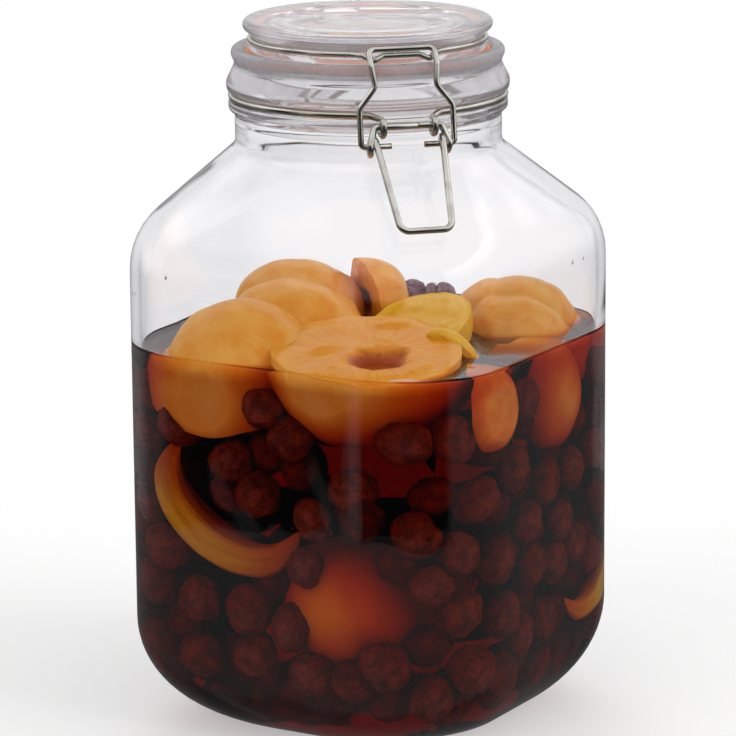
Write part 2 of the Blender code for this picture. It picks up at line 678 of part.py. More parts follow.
def lever_foot():
    """Reach and height of the lever's grip, which lies a little off the sloping shoulder."""
    off = LEVER_WIRE + GRIP_CLEARANCE
    length = math.hypot(1.0, SLOPE)
    start = Vector((NECK_RADIUS + off * SLOPE / length, SHOULDER_TOP + off / length))
    along = Vector((1.0, -SLOPE)) / length
    pivot = Vector((PIVOT_REACH, PIVOT_Z))
    near = (pivot - start).dot(along)
    away = (pivot - start - along * near).length
    grip = start + along * (near + math.sqrt(LEVER_LENGTH**2 - away**2))
    return grip.x, grip.y


def lever_path():
    """Pivot bar, crank, loop round the bail's foot, leg and half of the grip, then mirrored."""
    reach, z = lever_foot()
    leg = math.degrees(math.atan2(z - BAIL_FOOT_Z, reach - PIVOT_REACH))
    outer = -LOOP_SPREAD - LOOP_LEAD
    bar_end = HOOK_SPREAD + NECK_WIRE + LEVER_BAR_END
    turn = leg + 90 - 360
    half = [(front(-bar_end, PIVOT_REACH, PIVOT_Z), LEVER_BAR_BEND)]
    half += circle_of(outer, PIVOT_REACH, BAIL_FOOT_Z, LOOP_BEND, LOOP_START, turn, front, 2 * LOOP_LEAD)
    half.append((front(-LEVER_HALF_WIDTH, reach, z), GRIP_BEND))
    first = (front(LEVER_JOIN - GAP / 2, PIVOT_REACH, PIVOT_Z), 0.0)
    last = (front(LEVER_JOIN + GAP / 2, PIVOT_REACH, PIVOT_Z), 0.0)
    return rounded([first] + half + mirrored(half) + [last])


def add_boolean(item, cutter, operation):
    cut = item.modifiers.new(cutter.name, "BOOLEAN")
    cut.operation = operation
    cut.object = cutter
    cut.solver = "EXACT"


def hide_cutter(item):
    item.hide_render = True
    item.display_type = "WIRE"


def wall_distance(bearing, inset):
    """Distance from the axis, at a bearing, to a line that runs an inset inside the glass."""
    off = math.radians(abs((bearing + 45.0) % 90.0 - 45.0))
    radius = BODY_CORNER - WALL - GAP - inset
    across = CORNER_CENTRE * math.sin(off)
    if radius > across:
        reach = CORNER_CENTRE * math.cos(off) + math.sqrt(radius**2 - across**2)
        if reach * math.sin(off) < reach * math.cos(off) - CORNER_CENTRE:
            return reach
    return (BODY_HALF - BODY_CORNER + radius) / math.cos(math.radians(45) - off)


def ball(radius, around, tall):
    shape = bmesh.new()
    bmesh.ops.create_uvsphere(shape, u_segments=around, v_segments=tall, radius=radius)
    return shape


def cut_flat(shape, away):
    """Cuts a shape by a plane through its middle, keeps the side away from it and closes the cut."""
    everything = shape.verts[:] + shape.edges[:] + shape.faces[:]
    bmesh.ops.bisect_plane(
        shape, geom=everything, dist=1e-7, plane_co=(0, 0, 0), plane_no=away, clear_outer=True
    )
    rim = [edge for edge in shape.edges if edge.is_boundary]
    return bmesh.ops.contextual_create(shape, geom=rim)["faces"]


def half_ball(radius, pit):
    """Peach half with its dome up: a ball cut across its middle, with a pit hollow if asked."""
    shape = ball(radius, *PEACH_FACETS)
    face = cut_flat(shape, (0, 0, -1))
    if pit:
        bmesh.ops.recalc_face_normals(shape, faces=shape.faces[:])
        bmesh.ops.inset_region(shape, faces=face, thickness=PIT_RIM * radius, depth=0.0)
        bmesh.ops.inset_region(shape, faces=face, thickness=PIT_SLOPE * radius, depth=-PIT_DEPTH * radius)
    return shape


def lean(tilt, bearing):
    """Turn that leans the upright axis by a tilt towards a bearing."""
    axis = Vector((0.0, 0.0, 1.0)).cross(towards(bearing))
    return Matrix.Rotation(math.radians(tilt), 4, axis)


def slice_of(radius):
    """Peach slice with its skin's middle up: a wedge of a ball, whose points lie along X."""
    shape = ball(radius, *PEACH_FACETS)
    for side in (-1, 1):
        half_angle = math.radians(SLICE_SPREAD / 2)
        cut_flat(shape, (0, side * math.cos(half_angle), -math.sin(half_angle)))
    return shape


def add_fruit(name, shape, cutter_shape, place, turn, radius, folders, material, before):
    """One fruit and its cutter, cleared of the fruit placed earlier and of the glass."""
    parts, cutters, room = folders
    matrix = Matrix.Translation(place) @ turn
    fruit = add_object(name, mesh_from(name, shape), parts, material)
    fruit.matrix_world = matrix
    cutter = add_object(name + "_room", mesh_from(name + "_room", cutter_shape), cutters)
    cutter.matrix_world = matrix @ Matrix.Translation((0.0, 0.0, -GAP))
    hide_cutter(cutter)
    for earlier, centre, reach in before:
        if (centre - place).length < reach + radius + GAP:
            add_boolean(fruit, earlier, "DIFFERENCE")
    add_boolean(fruit, room, "INTERSECT")
    before.append((cutter, place, radius))
    return fruit, cutter


def make_contents(parts, cutters):
    """Syrup with room cut in it for every fruit that shows above it or at the glass."""
    peach = make_material("peach flesh", (0.86, 0.42, 0.12), 0.35)
    cherry = make_material("cherry skin", (0.10, 0.01, 0.015), 0.25)
    liquid = make_material("syrup", (0.30, 0.03, 0.02), 0.05, transmission=0.8, ior=1.36)
    room = lofted("contents_room", inside_sections(GAP, SHOULDER_TOP), cutters, None)
    hide_cutter(room)
    folders = (parts, cutters, room)
    before = []
    for name, (x, y, z, size, tilt, bearing) in FLOATING.items():
        radius = size * FRUIT_UNIT
        place = Vector((x, y, z)) * FRUIT_UNIT + Vector((0.0, 0.0, SYRUP_LEVEL))
        shape = half_ball(radius, tilt > PIT_TILT)
        cutter_shape = half_ball(radius + 2 * GAP, False)
        add_fruit(name, shape, cutter_shape, place, lean(tilt, bearing), radius, folders, peach, before)
    for name, (bearing, z, size, depth, tilt, side) in SUNK.items():
        radius = size * FRUIT_UNIT
        place = towards(bearing) * wall_distance(bearing, radius + depth * FRUIT_UNIT - PRESSED)
        place.z = z * FRUIT_RISE
        cutter_shape = half_ball(radius + 2 * GAP, False)
        turn = lean(tilt, side)
        add_fruit(name, half_ball(radius, False), cutter_shape, place, turn, radius, folders, peach, before)
    for name, (bearing, z) in CHERRIES.items():
        place = towards(bearing) * wall_distance(bearing, CHERRY_RADIUS - PRESSED)
        place.z = z * FRUIT_RISE
        shapes = [ball(radius, *CHERRY_FACETS) for radius in (CHERRY_RADIUS, CHERRY_RADIUS + 2 * GAP)]
        turn = Matrix.Rotation(math.radians(90), 4, towards(bearing + 90))
        add_fruit(name, *shapes, place, turn, CHERRY_RADIUS, folders, cherry, before)
    for name, (bearing, z, size, tilt, side) in SLICES.items():
        radius = size * FRUIT_UNIT
        half_width = radius * math.sin(math.radians(SLICE_SPREAD / 2))
        place = towards(bearing) * wall_distance(bearing, half_width - PRESSED)
        place.z = z * FRUIT_RISE
        turn = lean(tilt, side) @ Matrix.Rotation(math.radians(side - 90), 4, "Z")
        cutter_shape = slice_of(radius + 2 * GAP)
        hollows = []
        for share, item_gap in ((SLICE_HOLLOW, 0.0), (SLICE_HOLLOW, -3 * GAP)):
            shape = ball(share * radius + item_gap, *PEACH_FACETS)
            hollow = add_object(name + "_pit", mesh_from(name + "_pit", shape), cutters)
            hollow.matrix_world = Matrix.Translation(place)
            hide_cutter(hollow)
            hollows.append(hollow)
        fruit, cutter = add_fruit(
            name, slice_of(radius), cutter_shape, place, turn, radius, folders, peach, before
        )
        add_boolean(fruit, hollows[0], "DIFFERENCE")
        add_boolean(cutter, hollows[1], "DIFFERENCE")
    inside = inside_sections(GAP, SHOULDER_TOP)
    below = [section for section in inside if section[2] < SYRUP_LEVEL]
    top = (CORNER_CENTRE, below[0][1], SYRUP_LEVEL)
    syrup = lofted("syrup", [top] + below, parts, liquid)
    for cutter, _, _ in before:
        add_boolean(syrup, cutter, "DIFFERENCE")
    return syrup


def add_pivot(name, place, children):
    """An empty on a joint's axis, which carries the pieces that turn about it."""
    pivot = bpy.data.objects.new(name, None)
    bpy.context.scene.collection.objects.link(pivot)
    pivot.location = place
    for child in children:
        child.parent = pivot
        child.matrix_parent_inverse = Matrix.Translation(-place)
    return pivot


def main():
    for item in list(bpy.data.objects):
        bpy.data.objects.remove(item)
    parts = new_collection("swing_top_jar")
    cutters = new_collection("cutters")
    steel = {"roughness": 0.22, "metallic": 1.0}
    neck_steel = make_material("neck wire steel", (0.62, 0.61, 0.56), **steel)
    lid_steel = make_material("lid wire steel", (0.62, 0.61, 0.56), **steel)
    bail_steel = make_material("bail steel", (0.66, 0.65, 0.61), **steel)
    lever_steel = make_material("lever steel", (0.66, 0.65, 0.61), **steel)

    make_jar_body(parts)
    gasket = make_gasket(parts)
    lid = make_lid_glass(parts)
    make_wire("neck_wire", neck_wire_path(), NECK_WIRE, parts, neck_steel)
    lid_wire = make_wire("lid_wire", lid_wire_path(), LID_WIRE, parts, lid_steel)
    bail = make_wire("bail", bail_path(), BAIL_WIRE, parts, bail_steel)
    lever = make_wire("lever", lever_path(), LEVER_WIRE, parts, lever_steel)
    make_contents(parts, cutters)

    add_pivot("lid_pivot", rear(0.0, HINGE_REACH, HINGE_Z), [lid, gasket, lid_wire])
    lever_pivot = add_pivot("lever_pivot", front(0.0, PIVOT_REACH, PIVOT_Z), [lever])
    bail_place = front(0.0, PIVOT_REACH, BAIL_FOOT_Z)
    bail_pivot = add_pivot("bail_pivot", bail_place, [bail])
    bail_pivot.parent = lever_pivot
    bail_pivot.matrix_parent_inverse = Matrix.Translation(-lever_pivot.location)


main()
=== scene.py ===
# %% [markdown]
# # A swing-top jar of fruit in syrup
# The jar is square below and round at the neck. A glass lid is pressed on an orange rubber ring by a
# wire clasp. Inside lie peach halves and cherries in a dark red syrup. This lesson dresses the plain
# working part: it builds the glass with its real wall, bends the wires, cooks the fruit and mixes the
# finishes. All sizes are in metres, +Z is up, and the clasp looks towards -Y.

import math
import random

import bmesh
import bpy
from mathutils import Matrix, Vector, noise


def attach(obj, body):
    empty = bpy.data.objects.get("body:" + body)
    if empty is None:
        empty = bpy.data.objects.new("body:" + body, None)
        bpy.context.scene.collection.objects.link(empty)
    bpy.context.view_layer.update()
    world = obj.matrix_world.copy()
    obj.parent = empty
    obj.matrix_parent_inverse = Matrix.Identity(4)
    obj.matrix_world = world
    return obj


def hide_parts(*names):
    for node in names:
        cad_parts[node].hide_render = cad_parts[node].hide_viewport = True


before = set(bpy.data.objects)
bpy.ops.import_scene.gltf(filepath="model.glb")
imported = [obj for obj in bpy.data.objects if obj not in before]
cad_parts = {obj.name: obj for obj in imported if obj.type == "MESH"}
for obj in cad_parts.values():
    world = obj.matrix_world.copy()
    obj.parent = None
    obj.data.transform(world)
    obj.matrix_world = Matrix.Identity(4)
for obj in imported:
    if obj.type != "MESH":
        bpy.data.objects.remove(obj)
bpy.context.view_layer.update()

# %% [markdown]
# ## Camera
# The photograph was taken from a little above the lid and a little to the left of the clasp. A long
# lens from 1.8 m keeps the upright sides nearly parallel, as they are in the picture.

# %% Camera
CAMERA_BEARING = math.radians(-14.8)
CAMERA_RISE = math.radians(13.47)
CAMERA_DISTANCE = 1.8
CAMERA_TARGET = Vector((0.0, 0.0, 0.130))
CAMERA_ROLL = math.radians(-0.48)


def direction(bearing, rise=0.0):
    """Unit vector at a bearing, counted from the clasp (-Y) towards +X, and a rise, in radians."""
    level = math.cos(rise)
    return Vector((math.sin(bearing) * level, -math.cos(bearing) * level, math.sin(rise)))


def towards(bearing):
    """Level direction at a bearing in degrees."""
    return direction(math.radians(bearing))


def bearing_of(point):
    """Bearing in degrees at which a point lies."""
    return math.degrees(math.atan2(point.x, -point.y))


lens = bpy.data.cameras.new("camera")
lens.sensor_width = 36.0
lens.lens = 212.3
lens.shift_x = -0.00367
lens.shift_y = 0.03995
camera = bpy.data.objects.new("camera", lens)
bpy.context.scene.collection.objects.link(camera)
back = direction(CAMERA_BEARING, CAMERA_RISE)
camera.location = CAMERA_TARGET + back * CAMERA_DISTANCE
look = back.to_track_quat("Z", "Y").to_matrix().to_4x4() @ Matrix.Rotation(CAMERA_ROLL, 4, "Z")
camera.rotation_euler = look.to_euler()
bpy.context.scene.camera = camera
bpy.context.scene.view_settings.view_transform = "Standard"
print("camera at", tuple(round(c, 3) for c in camera.location))

# %% [markdown]
# ## Shader maths
# A finish is a small network of nodes. Written by hand that takes many lines, so one class wraps a
# socket: plus, minus and times on it add Math nodes, and node adds any other kind. The rest of its
# methods are short names for the nodes that most finishes need.


# %% Sockets that can be added and multiplied
class Flow:
    """A socket of a material, on which sums can be written as in Python."""

    def __init__(self, tree, socket=None):
        self.tree = tree
        self.socket = socket

    def node(self, kind, settings=None, inputs=None, output=0):
        """Adds a node, sets it, joins its inputs, and returns one of its outputs."""
        made = self.tree.nodes.new(kind)
        for name, value in (settings or {}).items():
            setattr(made, name, value)
        for name, value in (inputs or {}).items():
            if isinstance(value, Flow):
                self.tree.links.new(value.socket, made.inputs[name])
            elif isinstance(value, tuple) and len(value) == 3 and made.inputs[name].type == "RGBA":
                made.inputs[name].default_value = (*value, 1.0)
            else:
                made.inputs[name].default_value = value
        return Flow(self.tree, made.outputs[output])

    def maths(self, operation, *values):
        return self.node("ShaderNodeMath", {"operation": operation}, dict(enumerate(values)))

    def __add__(self, other):
        return self.maths("ADD", self, other)

    def __radd__(self, other):
        return self.maths("ADD", other, self)

    def __sub__(self, other):
        return self.maths("SUBTRACT", self, other)

    def __rsub__(self, other):
        return self.maths("SUBTRACT", other, self)

    def __mul__(self, other):
        return self.maths("MULTIPLY", self, other)

    def __rmul__(self, other):
        return self.maths("MULTIPLY", other, self)

    def step(self, low, high, start=0.0, end=1.0):
        """Smooth change from start to end as this value goes from low to high."""
        inputs = {"Value": self, "From Min": low, "From Max": high, "To Min": start, "To Max": end}
        return self.node("ShaderNodeMapRange", {"interpolation_type": "SMOOTHSTEP"}, inputs)

    def blend(self, first, second):
        """Colour that goes from the first to the second as this value goes from 0 to 1."""
        return self.node("ShaderNodeMix", {"data_type": "RGBA"}, {0: self, 6: first, 7: second}, 2)

    def mix(self, first, second):
        """Surface that goes from the first to the second as this value goes from 0 to 1."""
        return self.node("ShaderNodeMixShader", inputs={0: self, 1: first, 2: second})

    def place(self):
        """Where a point lies on its piece."""
        return self.node("ShaderNodeTexCoord", output="Object")

    def axis(self, letter):
        return self.node("ShaderNodeSeparateXYZ", inputs={0: self}, output=letter)

    def clouds(self, scale, detail):
        """Noise on this place, finer for a larger scale and more ragged for more detail."""
        return self.node("ShaderNodeTexNoise", inputs={"Vector": self, "Scale": scale, "Detail": detail})

    def bump(self, strength, distance):
        """Tilts a surface as if this value raised it by up to a distance."""
        inputs = {"Strength": strength, "Distance": distance, "Height": self}
        return self.node("ShaderNodeBump", inputs=inputs)

    def layer(self, name, output):
        """What the mesh itself keeps at each point under a name."""
        return self.node("ShaderNodeAttribute", {"attribute_name": name}, output=output)

    def ray(self, answer):
        """What is known of the light's way here, such as whether it goes straight to the camera."""
        return self.node("ShaderNodeLightPath", output=answer)


def new_finish(name):
    """An empty material: its start for new nodes, and its output node."""
    material = bpy.data.materials.new(name)
    material.use_nodes = True
    tree = material.node_tree
    tree.nodes.clear()
    exit_node = tree.nodes.new("ShaderNodeOutputMaterial")
    return material, Flow(tree), exit_node


def join(flow, exit_node, socket):
    flow.tree.links.new(flow.socket, exit_node.inputs[socket])


# %% [markdown]
# ## Glass
# Pressed soda glass is clear, with a faint grey-violet tint where one looks through much of it, such
# as along a wall. The tint is a Volume Absorption, which knows how far the light has gone. Its
# surface is smooth but not flat: it waves a little, which makes reflections swim. The collar and the
# lip came less smooth from the mould and are rubbed by the wires, so they are rougher and part of
# them is matt. Light that only passes through to the fruit goes straight on, because bent light
# would arrive as bright specks.

# %% What clear things share
def clear_surface(start, roughness, index, bump):
    """Surface that bends the light that goes in."""
    return start.node(
        "ShaderNodeBsdfPrincipled",
        inputs={
            "Base Color": (1.0, 1.0, 1.0),
            "Roughness": roughness,
            "IOR": index,
            "Transmission Weight": 1.0,
            "Normal": bump,
        },
    )


def lets_light_on(start, surface, tint):
    """The same surface, but light on its way to the fruit or the floor goes straight through."""
    straight = start.node("ShaderNodeBsdfTransparent", inputs={"Color": tint})
    return (start.ray("Is Shadow Ray") + start.ray("Is Diffuse Ray")).mix(surface, straight)


def depth_colour(start, colour, density):
    """Takes out of the light what the colour lacks, the more so the further the light goes."""
    return start.node("ShaderNodeVolumeAbsorption", inputs={"Color": colour, "Density": density})


# %% Glass finish
GLASS_INDEX = 1.5
COLLAR_FADE = 0.006
LIP_FADE = 0.002
LIP_BLUR = 0.16


def glass_finish(name, wave_scale, wave_depth, hazy_from, lip_from, blur, worn, lip_worn, worn_colour):
    """Clear glass that is rougher and part matt from one height up, and more so from a second."""
    material, start, exit_node = new_finish(name)
    place = start.place()
    height = place.axis("Z")
    hazy = height.step(hazy_from, hazy_from + COLLAR_FADE, 0.0, blur)
    hazy = hazy + height.step(lip_from, lip_from + LIP_FADE, 0.0, LIP_BLUR)
    waves = place.clouds(wave_scale, 1.0)
    clear = clear_surface(start, hazy, GLASS_INDEX, waves.bump(1.0, wave_depth))
    matt = start.node("ShaderNodeBsdfDiffuse", inputs={"Color": worn_colour, "Roughness": 0.3})
    scuffs = place.clouds(160.0, 3.0)
    wear = height.step(hazy_from, hazy_from + COLLAR_FADE, 0.0, worn)
    wear = wear + height.step(lip_from, lip_from + LIP_FADE, 0.0, lip_worn)
    wear = wear * scuffs.step(0.2, 0.8, 0.75, 1.1)
    join(lets_light_on(start, wear.mix(clear, matt), (0.97, 0.97, 0.97)), exit_node, "Surface")
    join(depth_colour(start, (0.62, 0.60, 0.66), 7.0), exit_node, "Volume")
    return material


JAR_GLASS = glass_finish(
    "jar glass",
    wave_scale=28.0,
    wave_depth=0.0006,
    hazy_from=0.249,
    lip_from=0.2695,
    blur=0.05,
    worn=0.18,
    lip_worn=0.34,
    worn_colour=(0.44, 0.43, 0.46),
)
LID_GLASS = glass_finish(
    "lid glass",
    wave_scale=40.0,
    wave_depth=0.0004,
    hazy_from=0.270,
    lip_from=0.400,
    blur=0.02,
    worn=0.14,
    lip_worn=0.0,
    worn_colour=(0.92, 0.91, 0.96),
)
print("made", JAR_GLASS.name, "and", LID_GLASS.name)

# %% [markdown]
# ## Outlines
# A turned shape is drawn as half of its section. Real glass and wire have no sharp corners, so an
# outline is given as corner points with a radius each, and every corner becomes an arc. The same
# function serves for the wires, whose corners lie in space.

# %% Corners into arcs
ARC_STEP = math.radians(9.0)
LEAST_TURN = 0.01
HAIR = 1e-6


def rounded(corners):
    """Path through corner points (point, radius), with each corner turned into an arc."""
    path = [corners[0][0]]
    for (before, _), (corner, radius), (after, _) in zip(corners, corners[1:], corners[2:]):
        into = (corner - before).normalized()
        away = (after - corner).normalized()
        turn = into.angle(away, 0.0)
        if radius <= 0.0 or turn < LEAST_TURN:
            path.append(corner)
            continue
        cut = radius * math.tan(turn / 2)
        centre = corner + (away - into).normalized() * (radius / math.cos(turn / 2))
        start = corner - into * cut - centre
        axis = into.cross(away).normalized()
        count = max(2, math.ceil(turn / ARC_STEP))
        for step in range(count + 1):
            path.append(centre + Matrix.Rotation(turn * step / count, 3, axis) @ start)
    path.append(corners[-1][0])
    return path


def outline(corners):
    """The same in a flat outline: corners as (reach, height, radius), path as (reach, height)."""
    path = rounded([(Vector((reach, 0.0, z)), radius) for reach, z, radius in corners])
    return [(point.x, point.z) for point in path]


def spaced(path, longest):
    """The same outline with points added, so that no stretch of it is longer than this."""
    points = [path[0]]
    for (r0, z0), (r1, z1) in zip(path, path[1:]):
        count = max(1, math.ceil(math.hypot(r1 - r0, z1 - z0) / longest))
        for step in range(1, count + 1):
            points.append((r0 + (r1 - r0) * step / count, z0 + (z1 - z0) * step / count))
    return points


# %% [markdown]
# ## The jar's glass
# The jar is one piece of glass: a round foot, a heel that swells out into a square body with round
# corners, a sloping shoulder, and a round neck with beads, a groove for the wire and a lip. Its
# section is spun about the axis as if it were round. Then every point slides along its ring until
# the ring is a square with round corners. The corners' centres move out as the section grows, so the
# heel and the shoulder turn from round to square by themselves.

# %% Sizes of the jar's glass
BODY_HALF = 0.084
BODY_CORNER = 0.046
FOOT_RADIUS = 0.052
FOOT_WIDTH = 0.008
PUSH_UP = 0.003
HEEL_TOP = 0.042
WALL = 0.004
FLOOR = 0.008
FLOOR_CROWN = 0.002
SHOULDER_FOOT = 0.2032
SHOULDER_TOP = 0.2379
SHOULDER_FILLET = 0.030
NECK_RADIUS = 0.0545
NECK_WALL = 0.005
NECK_FILLET = 0.005
GROOVE_Z = SHOULDER_TOP + 0.0201
SEAT_Z = SHOULDER_TOP + 0.0358
LIP_Z = SEAT_Z + 0.0039
MOUTH_RADIUS = NECK_RADIUS - 0.0120
MOUTH_DEPTH = 0.0085
CORNER_CENTRE = (BODY_HALF - BODY_CORNER) * math.sqrt(2)
CORNER_REACH = CORNER_CENTRE + BODY_CORNER
SLOPE = (SHOULDER_TOP - SHOULDER_FOOT) / (CORNER_REACH - NECK_RADIUS)
TURN_STEPS = 144
NECK_WIRE = 0.00135
GROOVE_REACH = NECK_RADIUS + NECK_WIRE
BEAD_REACH = NECK_RADIUS + 0.0034
LOW_BEAD_REACH = NECK_RADIUS + 0.0026
FLANGE_REACH = NECK_RADIUS + 0.0014
LIP_INNER = 0.0503
INNER_NECK_FILLET = 0.012
CROWN_SHARE = 0.4
print("reach at the corners", round(CORNER_REACH, 4), "height of the lip", round(LIP_Z, 4))

# %% Outside and inside of the glass
OUTER_HEEL_STEPS = 18
INNER_HEEL_STEPS = 16
LONGEST_FACE = 0.008


def heel_arc(foot, side, low, high, steps):
    """Quarter of an ellipse from the foot out to the upright side."""
    arc = []
    for step in range(steps + 1):
        angle = math.radians(90.0) * step / steps
        arc.append((foot + (side - foot) * math.sin(angle), low + (high - low) * (1 - math.cos(angle))))
    return arc


def outside_outline():
    """Outer side of the glass, from the middle of the base up to the lip."""
    inner_foot = FOOT_RADIUS - FOOT_WIDTH
    groove = NECK_RADIUS - 0.0003
    base = outline(
        [
            (0.0, PUSH_UP, 0.0),
            (inner_foot - 0.006, PUSH_UP, 0.012),
            (inner_foot - 0.001, 0.0004, 0.003),
            (inner_foot + 0.002, 0.0, 0.004),
            (FOOT_RADIUS, 0.0, 0.0),
        ]
    )
    heel = heel_arc(FOOT_RADIUS, CORNER_REACH, 0.0, HEEL_TOP, OUTER_HEEL_STEPS)
    rise = outline(
        [
            (CORNER_REACH, HEEL_TOP, 0.0),
            (CORNER_REACH, SHOULDER_FOOT, SHOULDER_FILLET),
            (NECK_RADIUS, SHOULDER_TOP, NECK_FILLET),
            (NECK_RADIUS, SHOULDER_TOP + 0.0090, 0.0),
            (NECK_RADIUS + 0.00012, SHOULDER_TOP + 0.0093, 0.0),
            (NECK_RADIUS, SHOULDER_TOP + 0.0096, 0.0),
            (NECK_RADIUS, SHOULDER_TOP + 0.0127, 0.0014),
            (LOW_BEAD_REACH, SHOULDER_TOP + 0.0148, 0.0013),
            (LOW_BEAD_REACH, GROOVE_Z - 0.0014, 0.0012),
            (groove + 0.0010, GROOVE_Z - 0.0017, 0.0005),
            (groove, GROOVE_Z - 0.0009, 0.0006),
            (groove, GROOVE_Z + 0.0009, 0.0006),
            (groove + 0.0010, GROOVE_Z + 0.0017, 0.0005),
            (BEAD_REACH - 0.0004, GROOVE_Z + 0.0018, 0.0014),
            (BEAD_REACH + 0.0003, SHOULDER_TOP + 0.0255, 0.0042),
            (NECK_RADIUS + 0.0006, SHOULDER_TOP + 0.0316, 0.0012),
            (NECK_RADIUS + 0.0004, SHOULDER_TOP + 0.0321, 0.0002),
            (NECK_RADIUS, SHOULDER_TOP + 0.0336, 0.0008),
            (FLANGE_REACH - 0.0001, SHOULDER_TOP + 0.0367, 0.0010),
            (FLANGE_REACH, LIP_Z, 0.0021),
            (LIP_INNER + 0.0010, LIP_Z, 0.0008),
            (LIP_INNER, LIP_Z - 0.0010, 0.0008),
            (LIP_INNER, SEAT_Z, 0.0007),
            (MOUTH_RADIUS + 0.0006, SEAT_Z, 0.0006),
            (MOUTH_RADIUS, SEAT_Z - 0.0012, 0.0010),
            (MOUTH_RADIUS, SEAT_Z - MOUTH_DEPTH, 0.0030),
            (NECK_RADIUS - NECK_WALL, GROOVE_Z - 0.006, 0.0),
        ]
    )
    return base[:-1] + heel[:-1] + rise


def inside_outline():
    """Inner side of the glass, from the neck down to the middle of the floor."""
    neck = NECK_RADIUS - NECK_WALL
    side = CORNER_REACH - WALL
    drop = WALL * (math.sqrt(1 + SLOPE * SLOPE) - SLOPE)
    walls = outline(
        [
            (neck, GROOVE_Z - 0.006, 0.0),
            (neck, SHOULDER_TOP - drop, INNER_NECK_FILLET),
            (side, SHOULDER_FOOT - drop, SHOULDER_FILLET - WALL),
            (side, HEEL_TOP, 0.0),
        ]
    )
    heel = heel_arc(FOOT_RADIUS - WALL / 2, side, FLOOR, HEEL_TOP, INNER_HEEL_STEPS)
    crown = FLOOR + FLOOR_CROWN
    return walls[:-1] + heel[::-1] + [(CROWN_SHARE * FOOT_RADIUS, crown), (0.0, crown)]


outer = spaced(outside_outline(), LONGEST_FACE)
inner = spaced(inside_outline(), LONGEST_FACE)
print("points outside:", len(outer), "inside:", len(inner))

# %% From round to square
INNER_WAVE = 0.00018
WAVES_PER_METRE = 22.0


def corner_centre(reach, z, inside):
    """How far out the corner arcs' centres lie where the section has grown to this reach."""
    grown = reach + WALL if inside else reach
    low = FOOT_RADIUS + WALL / 2 if inside else FOOT_RADIUS
    high = NECK_RADIUS + WALL - NECK_WALL if inside else NECK_RADIUS
    round_reach = low if z < HEEL_TOP else high
    share = (grown - round_reach) / (CORNER_REACH - round_reach)
    return CORNER_CENTRE * min(max(share, 0.0), 1.0)


def squared(point, centre):
    """Where a point of a round ring comes to lie once the ring is a square with round corners."""
    reach = math.hypot(point.x, point.y)
    if centre <= 0.0 or reach < HAIR:
        return point
    bearing = bearing_of(point)
    corner = 90.0 * round(bearing / 90.0)
    radius = reach - centre
    arc = radius * math.pi / 2
    along = (bearing - corner) / 90.0 * (arc + centre * math.sqrt(2))
    on_arc = min(max(along, -arc / 2), arc / 2)
    turned = corner + math.degrees(on_arc / radius)
    place = towards(corner) * centre + towards(turned) * radius + towards(turned + 90.0) * (along - on_arc)
    return Vector((place.x, place.y, point.z))


def waved(point):
    """A point of the wall's inner side, moved in by slow waves."""
    away = Vector((point.x, point.y, 0.0)).normalized()
    return point - away * (INNER_WAVE * (1.0 + noise.noise(point * WAVES_PER_METRE)))


# %% Helpers for turned pieces
def add_piece(name, bm, material, body, slot_name, *nodes):
    """Finished bmesh into a piece that rides on a body and stands for CAD nodes."""
    mesh = bpy.data.meshes.new(name)
    bm.to_mesh(mesh)
    bm.free()
    mesh.shade_smooth()
    mesh.materials.append(material)
    piece = bpy.data.objects.new(name, mesh)
    bpy.context.scene.collection.objects.link(piece)
    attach(piece, body)
    if nodes:
        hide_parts(*nodes)
    print(name, len(mesh.polygons), "faces")
    return piece


def turn_outline(bm, points, closed=False, inner_start=None):
    """Spins an outline of (reach, height) points about the jar's axis, and marks its inner side."""
    inside = bm.verts.layers.int.new("inside")
    verts = [bm.verts.new((0.0, -reach, z)) for reach, z in points]
    for vert in verts[inner_start or len(verts):]:
        vert[inside] = 1
    edges = [bm.edges.new(pair) for pair in zip(verts, verts[1:])]
    if closed:
        edges.append(bm.edges.new((verts[-1], verts[0])))
    bmesh.ops.spin(
        bm,
        geom=verts + edges,
        cent=(0, 0, 0),
        axis=(0, 0, 1),
        angle=math.tau,
        steps=TURN_STEPS,
        use_merge=True,
    )
    bmesh.ops.remove_doubles(bm, verts=bm.verts[:], dist=HAIR)
    bmesh.ops.recalc_face_normals(bm, faces=bm.faces[:])


# %% Body of the jar
SEAM_HALF = 0.0005
SEAM_HEIGHT = 0.00016
SEAM_FROM = 0.004
SEAM_TO = SHOULDER_TOP - 0.01
SEAM_BOLD = 0.075
SEAM_FAINT = 0.15

body = bmesh.new()
turn_outline(body, outer + inner[1:], inner_start=len(outer))
inside = body.verts.layers.int["inside"]
for vert in body.verts:
    reach = math.hypot(vert.co.x, vert.co.y)
    vert.co = squared(vert.co, corner_centre(reach, vert.co.z, vert[inside]))
    if vert[inside] and vert.co.z < SHOULDER_TOP:
        vert.co = waved(vert.co)

# The two halves of the mould leave a fine raised seam up the front and the back corner
for side in (-SEAM_HALF, SEAM_HALF):
    faces = [face for face in body.faces if not any(vert[inside] for vert in face.verts)]
    faces = [face for face in faces if face.calc_center_median().z < SHOULDER_TOP]
    around = {edge for face in faces for edge in face.edges}
    around |= {vert for face in faces for vert in face.verts}
    bmesh.ops.bisect_plane(
        body, geom=faces + list(around), dist=1e-7, plane_co=(side, 0, 0), plane_no=(1, 0, 0)
    )
for vert in body.verts:
    ridge = abs(vert.co.x) < HAIR and not vert[inside] and SEAM_FROM < vert.co.z < SEAM_TO
    if ridge and abs(vert.co.y) > FOOT_RADIUS:
        fade = SEAM_FAINT + (1.0 - SEAM_FAINT) * max(1.0 - vert.co.z / SEAM_BOLD, 0.0)
        raised = min(abs(vert.co.y) + SEAM_HEIGHT * fade, CORNER_REACH)
        vert.co.y = math.copysign(raised, vert.co.y)
